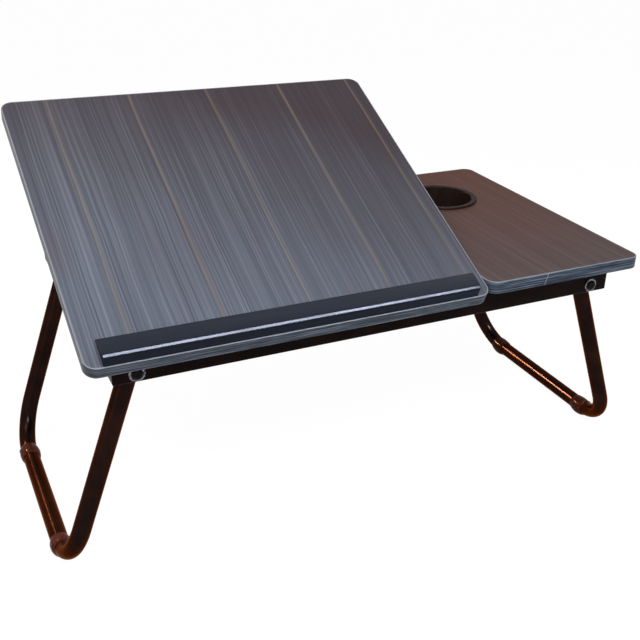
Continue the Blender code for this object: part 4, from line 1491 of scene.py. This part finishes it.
@dataclass
class Leg:
    """One leg in its own frame: a bent tube, its end plugs, foot sleeves and their screws.

    A foot's pair of sizes says where it begins and ends, counted outwards from the start of the tube's
    bend. The plug's crown gives shares of the tube's radius, and how far each lies under the plug's top.
    """

    side: int
    body: Body
    front_foot: tuple[float, float]
    back_foot: tuple[float, float]
    radius: float = 9.0 * MM
    wall: float = 1.2 * MM
    bend: float = 48.0 * MM
    bend_steps: int = 28
    overrun: float = 9.5 * MM
    foot_half: float = 11.1 * MM
    foot_sole: float = 2.6 * MM
    foot_crown: float = 1.0 * MM
    foot_mouth: float = 0.2 * MM
    foot_lip: float = 0.15 * MM
    bore_gap: float = 0.05 * MM
    foot_rows: int = 33
    foot_sides: int = 72
    screw: ScrewHead = field(default_factory=lambda: ScrewHead(2.9 * MM, 1.0 * MM))
    screw_from_mouth: float = 5.5 * MM
    screw_seat: float = 0.9 * MM
    fit: float = 0.3 * MM
    plug_depth: float = 4.0 * MM
    plug_point: float = 1.0 * MM
    plug_gap: float = 0.1 * MM
    plug_edge: float = 0.5 * MM
    plug_taper: float = 2.0 * MM
    plug_brim: float = 0.2 * MM
    plug_dome: float = 1.5 * MM
    plug_crown: tuple[tuple[float, float], ...] = ((0.6, 0.15 * MM), (0.3, 0.05 * MM))
    plug_sides: int = 48
    sides: int = 64

    def label(self) -> str:
        """The leg's name in the node names."""
        return "left" if self.side < 0 else "right"

    def placing(self) -> Placing:
        """The leg's frame, with its origin on the fold axis."""
        return Placing(pivot(self.label() + "_leg_fold"), Axis.Y, -self.side * LEAN_DEGREES)

    def measures(self) -> tuple[float, float]:
        """Half the distance between the arms, and the length from the fold axis to the floor bar."""
        low, high = self.placing().box(self.label() + "_leg_tube")
        return (high[1] - low[1]) / 2 - self.radius, -low[2] - self.radius

    def tube(self) -> None:
        """The tube: down the front arm, along the floor bar and up the back arm."""
        span, length = self.measures()
        corners = np.array([(0, -span, self.overrun), (0, -span, -length), (0, span, -length),
                            (0, span, self.overrun)])
        line = self.placing().out(filleted(corners, self.bend, self.bend_steps))
        shell = tube(line, self.placing().matrix()[:, 0], self.radius, self.wall, self.sides)
        piece(self.label() + "_leg_bent_tube", [shell], LEG_PAINT, self.body, (self.label() + "_leg_tube",))

    def past_bend(self, station: Array, end: int) -> Array:
        """Points of the tube's centre line, in the leg's frame.

        A station s counts from the start of the bend: up to 0 it lies on the floor bar's line, and past that
        on the bend at the angle s / bend radius.

        Args:
            station: the distances.
            end: -1 at the front, 1 at the back.

        Returns:
            The points.
        """
        span, length = self.measures()
        angle = np.clip(station, 0, None) / self.bend
        y = span - self.bend + np.minimum(station, 0) + self.bend * np.sin(angle)
        return np.stack([np.zeros(len(station)), end * y, self.bend * (1 - np.cos(angle)) - length], axis=1)

    def foot(self, end: int, first: float, last: float) -> Shell:
        """A moulded sleeve: a barrel swept round the end of the floor bar, pressed flat where it stands.

        At a share u of its length from -1 to 1, the section's half width is the mouth plus (1 - u^2) times
        what the middle has more, and its height grows the same way, above and below the tube. The lips at
        both mouths and the bore close the surface.

        Args:
            end: -1 at the front, 1 at the back.
            first: the station where it begins.
            last: the station where it ends.

        Returns:
            The shell.
        """
        share = np.linspace(-1, 1, self.foot_rows)
        share = np.concatenate([share[:1], share, share[-1:]])
        station = (first + last) / 2 + share * (last - first) / 2
        station[1] += self.foot_lip
        station[-2] -= self.foot_lip
        lip = np.zeros(len(share))
        lip[0] = lip[-1] = self.foot_lip
        line = self.placing().out(self.past_bend(station, end))
        wide_axis = np.array([1.0, 0.0, 0.0])
        across = np.cross(wide_axis, tangents(line))
        across *= np.sign(across[:, 2])[:, None]
        bore = self.radius + self.fit
        mouth, swell = bore + self.foot_mouth - lip, 1 - share ** 2
        wide = mouth + swell * (self.foot_half - bore - self.foot_mouth)
        high = mouth + swell * (self.foot_crown - self.foot_mouth)
        deep = mouth + swell * (self.foot_sole - self.foot_mouth)
        angle = 2 * np.pi * np.arange(self.foot_sides) / self.foot_sides
        c, s = np.cos(angle), np.sin(angle)
        rise = s * np.where(s > 0, high[:, None], deep[:, None])
        outer = (line[:, None, :] + (wide[:, None] * c)[..., None] * wide_axis
                 + rise[..., None] * across[:, None, :])
        outer[..., 2] = np.maximum(outer[..., 2], 0.0)
        inner = (line[:, None, :] + (self.radius + self.bore_gap)
                 * (c[None, :, None] * wide_axis + s[None, :, None] * across[:, None, :]))
        return surface(np.concatenate([outer, inner[::-1]]), wrap_rows=True)

    def feet(self) -> None:
        """Both sleeves, each with the screw that holds it on its outer side."""
        outward = self.placing().matrix()[:, 0] * self.side
        for place, end, (first, last) in zip(ENDS, (-1, 1), (self.front_foot, self.back_foot)):
            name = self.label() + "_" + place + "_foot"
            piece(name + "_sleeve", [self.foot(end, first, last)], FOOT, self.body, (name,), sharp=32)
            middle = self.past_bend(np.array([last - self.screw_from_mouth]), end)
            seat = self.placing().out(middle)[0] + outward * (self.radius + self.fit + self.screw_seat)
            piece(name + "_screw_head", [self.screw.shell(seat, tuple(outward))], DARK_DOME, self.body,
                  (name + "_screw",))

    def plugs(self) -> None:
        """The domed plugs in the tube's upper ends."""
        placing = self.placing()
        r, gap, edge, dome = self.radius, self.plug_gap, self.plug_edge, self.plug_dome
        skirt = r - self.wall - gap
        profile = np.concatenate([
            [(POLE, -self.plug_depth), (r - self.plug_taper, -self.plug_depth),
             (skirt, self.plug_point - self.plug_depth), (skirt, gap), (r - self.plug_brim, gap)],
            arc((r - edge, gap + edge), edge, 0, 80, 5),
            [(r * share, dome - drop) for share, drop in self.plug_crown], [(POLE, dome)]])
        for place in ENDS:
            node = self.label() + "_leg_" + place + "_plug"
            low, high = placing.box(node)
            middle = placing.out(np.array([0.0, (low[1] + high[1]) / 2, self.overrun + gap]))
            shell = revolve(profile, middle, tuple(placing.matrix()[:, 2]), self.plug_sides)
            piece(node + "_cap", [shell], PLUG, self.body, (node,), sharp=40)

    def build(self) -> None:
        """Builds and dresses the leg."""
        self.tube()
        self.feet()
        self.plugs()


@dataclass
class Prop:
    """The wire prop under the tilting board: a bow whose foot bar stands on the rack."""

    radius: float = 3.0 * MM
    length: float = 118.0 * MM
    width: float = 120.0 * MM
    bend: float = 8.0 * MM
    stub: float = 16.0 * MM
    end_round: float = 0.8 * MM
    bend_steps: int = 12
    sides: int = 32

    def build(self) -> None:
        """Builds the wire and dresses its brackets."""
        placing = Placing(pivot("prop_swing"), Axis.X, -TILT_DEGREES)
        half, stub = self.width / 2, self.width / 2 + self.stub
        corners = np.array([(-stub, 0, 0), (-half, 0, 0), (-half, self.length, 0), (half, self.length, 0),
                            (half, 0, 0), (stub, 0, 0)])
        line = placing.out(filleted(corners, self.bend, self.bend_steps))
        shell = rod(line, placing.matrix()[:, 2], self.radius, self.sides, self.end_round)
        piece("prop_wire", [shell], ZINC, Body.PROP, ("prop_rod",))
        refinish(ZINC, "left_prop_bracket", "right_prop_bracket")


def stand(made: bpy.types.Object, turn: Array, place: Point) -> None:
    """Links an object into the scene.

    Args:
        made: the object.
        turn: its axes, as columns.
        place: where it stands.
    """
    matrix = np.eye(4)
    matrix[:3, :3], matrix[:3, 3] = turn, place
    made.matrix_world = Matrix(matrix.tolist())
    bpy.context.scene.collection.objects.link(made)


@dataclass(frozen=True)
class Lamp:
    """A soft rectangular lamp, sized in metres, powered in watts and aimed at a point.

    A glint lamp only shows in reflections and lights nothing. A grid in front of a lamp narrows its beam,
    which is in degrees.
    """

    name: str
    place: Point
    aim: Point
    size: tuple[float, float]
    power: float
    colour: str
    glint: bool = False
    beam: float = 180.0

    def build(self) -> None:
        """Hangs the lamp."""
        data = bpy.data.lights.new(self.name, "AREA")
        data.shape = "RECTANGLE"
        data.size, data.size_y = self.size
        data.energy = self.power
        data.color = linear(self.colour)[:3]
        data.spread = math.radians(self.beam)
        made = bpy.data.objects.new(self.name, data)
        made.visible_camera = False
        made.visible_diffuse = not self.glint
        stand(made, axes(tuple(np.asarray(self.place) - np.asarray(self.aim))).T, self.place)


# The key and its two helpers light the table. The strip draws the long highlight on the stopper, and the
# glint from the back draws those on the floor bars of the legs.
LAMPS = (
    Lamp("key", (0.0, -0.80, 1.05), (-0.05, 0.0, 0.26), (0.8, 0.4), 8.5, "#f1f4ff"),
    Lamp("top_left", (-0.60, -0.12, 1.10), (-0.20, 0.0, 0.30), (0.4, 0.4), 4.0, "#fff8f4"),
    Lamp("warm_left", (-1.10, -0.45, 0.16), (-0.3, -0.15, 0.2), (0.3, 0.2), 0.6, "#ff8238"),
    Lamp("strip_glint", (0.11, -0.705, 0.95), (0.11, -0.18, 0.26), (1.00, 0.10), 72.0, "#e2eaff",
         glint=True),
    Lamp("back_glint", (-0.80, 1.30, 0.95), (0.54, 0.02, -0.16), (0.22, 0.22), 8.8, "#ffc596", glint=True,
         beam=48.0))


@dataclass
class Studio:
    """The pale floor, the soft lamps and the camera at the photograph's angle."""

    eye: Point = (-0.40625, -0.88530, 0.62725)
    azimuth: float = -28.449
    elevation: float = 29.025
    roll: float = 2.232
    focal_px: float = 931.5
    centre_px: tuple[float, float] = (378.66, 377.39)
    image_px: int = 640
    near: float = 0.01
    floor_reach: float = 6.0
    floor_colour: str = "#f4f4f4"
    floor_glow: float = 0.90
    glow_strength: float = 1.085
    sky_light: float = 0.10

    def camera(self) -> None:
        """Sets the camera: looking along its azimuth, down by its elevation, and rolled."""
        az, el, roll = (math.radians(a) for a in (self.azimuth, self.elevation, self.roll))
        ahead = np.array([math.sin(-az) * math.cos(el), math.cos(az) * math.cos(el), -math.sin(el)])
        right = np.cross(ahead, (0, 0, 1))
        right /= np.linalg.norm(right)
        up = np.cross(right, ahead)
        rolled_right = math.cos(roll) * right + math.sin(roll) * up
        rolled_up = math.cos(roll) * up - math.sin(roll) * right
        data = bpy.data.cameras.new("camera")
        data.lens = self.focal_px * data.sensor_width / self.image_px
        data.shift_x = (self.image_px / 2 - self.centre_px[0]) / self.image_px
        data.shift_y = (self.centre_px[1] - self.image_px / 2) / self.image_px
        data.clip_start = self.near
        made = bpy.data.objects.new("camera", data)
        stand(made, np.stack([rolled_right, rolled_up, -ahead], axis=1), self.eye)
        bpy.context.scene.camera = made

    def world(self) -> None:
        """A plain grey sky that looks white to the camera and in reflections."""
        world = bpy.data.worlds.new("studio")
        bpy.context.scene.world = world
        world.use_nodes = True
        tree = world.node_tree
        tree.nodes.clear()
        strength = add(tree, "ShaderNodeMapRange", {0: self.seen(tree), 3: self.sky_light, 4: 1.0})
        sky = add(tree, "ShaderNodeBackground", {0: WHITE, 1: strength.outputs[0]})
        add(tree, "ShaderNodeOutputWorld", {0: sky.outputs[0]})

    def seen(self, tree: Tree) -> Socket:
        """Tells what the eye sees from what only lights the table.

        Args:
            tree: the material's or the world's nodes.

        Returns:
            1 where the camera, a reflection or something clear looks, 0 for plain light.
        """
        ray = add(tree, "ShaderNodeLightPath").outputs
        total = add(tree, "ShaderNodeMath", {0: ray["Is Camera Ray"], 1: ray["Is Glossy Ray"]},
                    operation="ADD")
        return add(tree, "ShaderNodeMath", {0: total.outputs[0], 1: ray["Is Transmission Ray"]},
                   operation="ADD", use_clamp=True).outputs[0]

    def floor(self) -> None:
        """A white floor that keeps the table's shadow."""
        mesh = bpy.data.meshes.new("floor")
        r = self.floor_reach
        mesh.from_pydata([(-r, -r, 0), (r, -r, 0), (r, r, 0), (-r, r, 0)], [], [(0, 1, 2, 3)])
        made = bpy.data.objects.new("floor", mesh)
        bpy.context.scene.collection.objects.link(made)
        paper = bpy.data.materials.new("paper_backdrop")
        paper.use_nodes = True
        tree = paper.node_tree
        tree.nodes.clear()
        lit = add(tree, "ShaderNodeBsdfDiffuse", {0: linear(self.floor_colour)})
        glow = add(tree, "ShaderNodeEmission", {0: WHITE, 1: self.glow_strength})
        share = add(tree, "ShaderNodeMath", {0: self.seen(tree), 1: self.floor_glow}, operation="MULTIPLY")
        mixed = add(tree, "ShaderNodeMixShader",
                    {0: share.outputs[0], 1: lit.outputs[0], 2: glow.outputs[0]})
        add(tree, "ShaderNodeOutputMaterial", {0: mixed.outputs[0]})
        mesh.materials.append(paper)

    def build(self) -> None:
        """Sets up the whole studio."""
        bpy.context.scene.view_settings.view_transform = "Standard"
        self.camera()
        self.world()
        self.floor()
        for lamp in LAMPS:
            lamp.build()


def main() -> None:
    """Builds the studio and every sub-assembly, and reports each piece."""
    logging.basicConfig(level=logging.INFO, format="%(message)s")
    Studio().build()
    Boards().build()
    SteelFrame().build()
    Pivots().build()
    Leg(-1, Body.LEFT_LEG, front_foot=(-3.5 * MM, 15.5 * MM), back_foot=(-17.0 * MM, 4.0 * MM)).build()
    Leg(1, Body.RIGHT_LEG, front_foot=(-12.0 * MM, 10.0 * MM), back_foot=(-7.0 * MM, 14.5 * MM)).build()
    Prop().build()


if __name__ == "__main__":
    main()
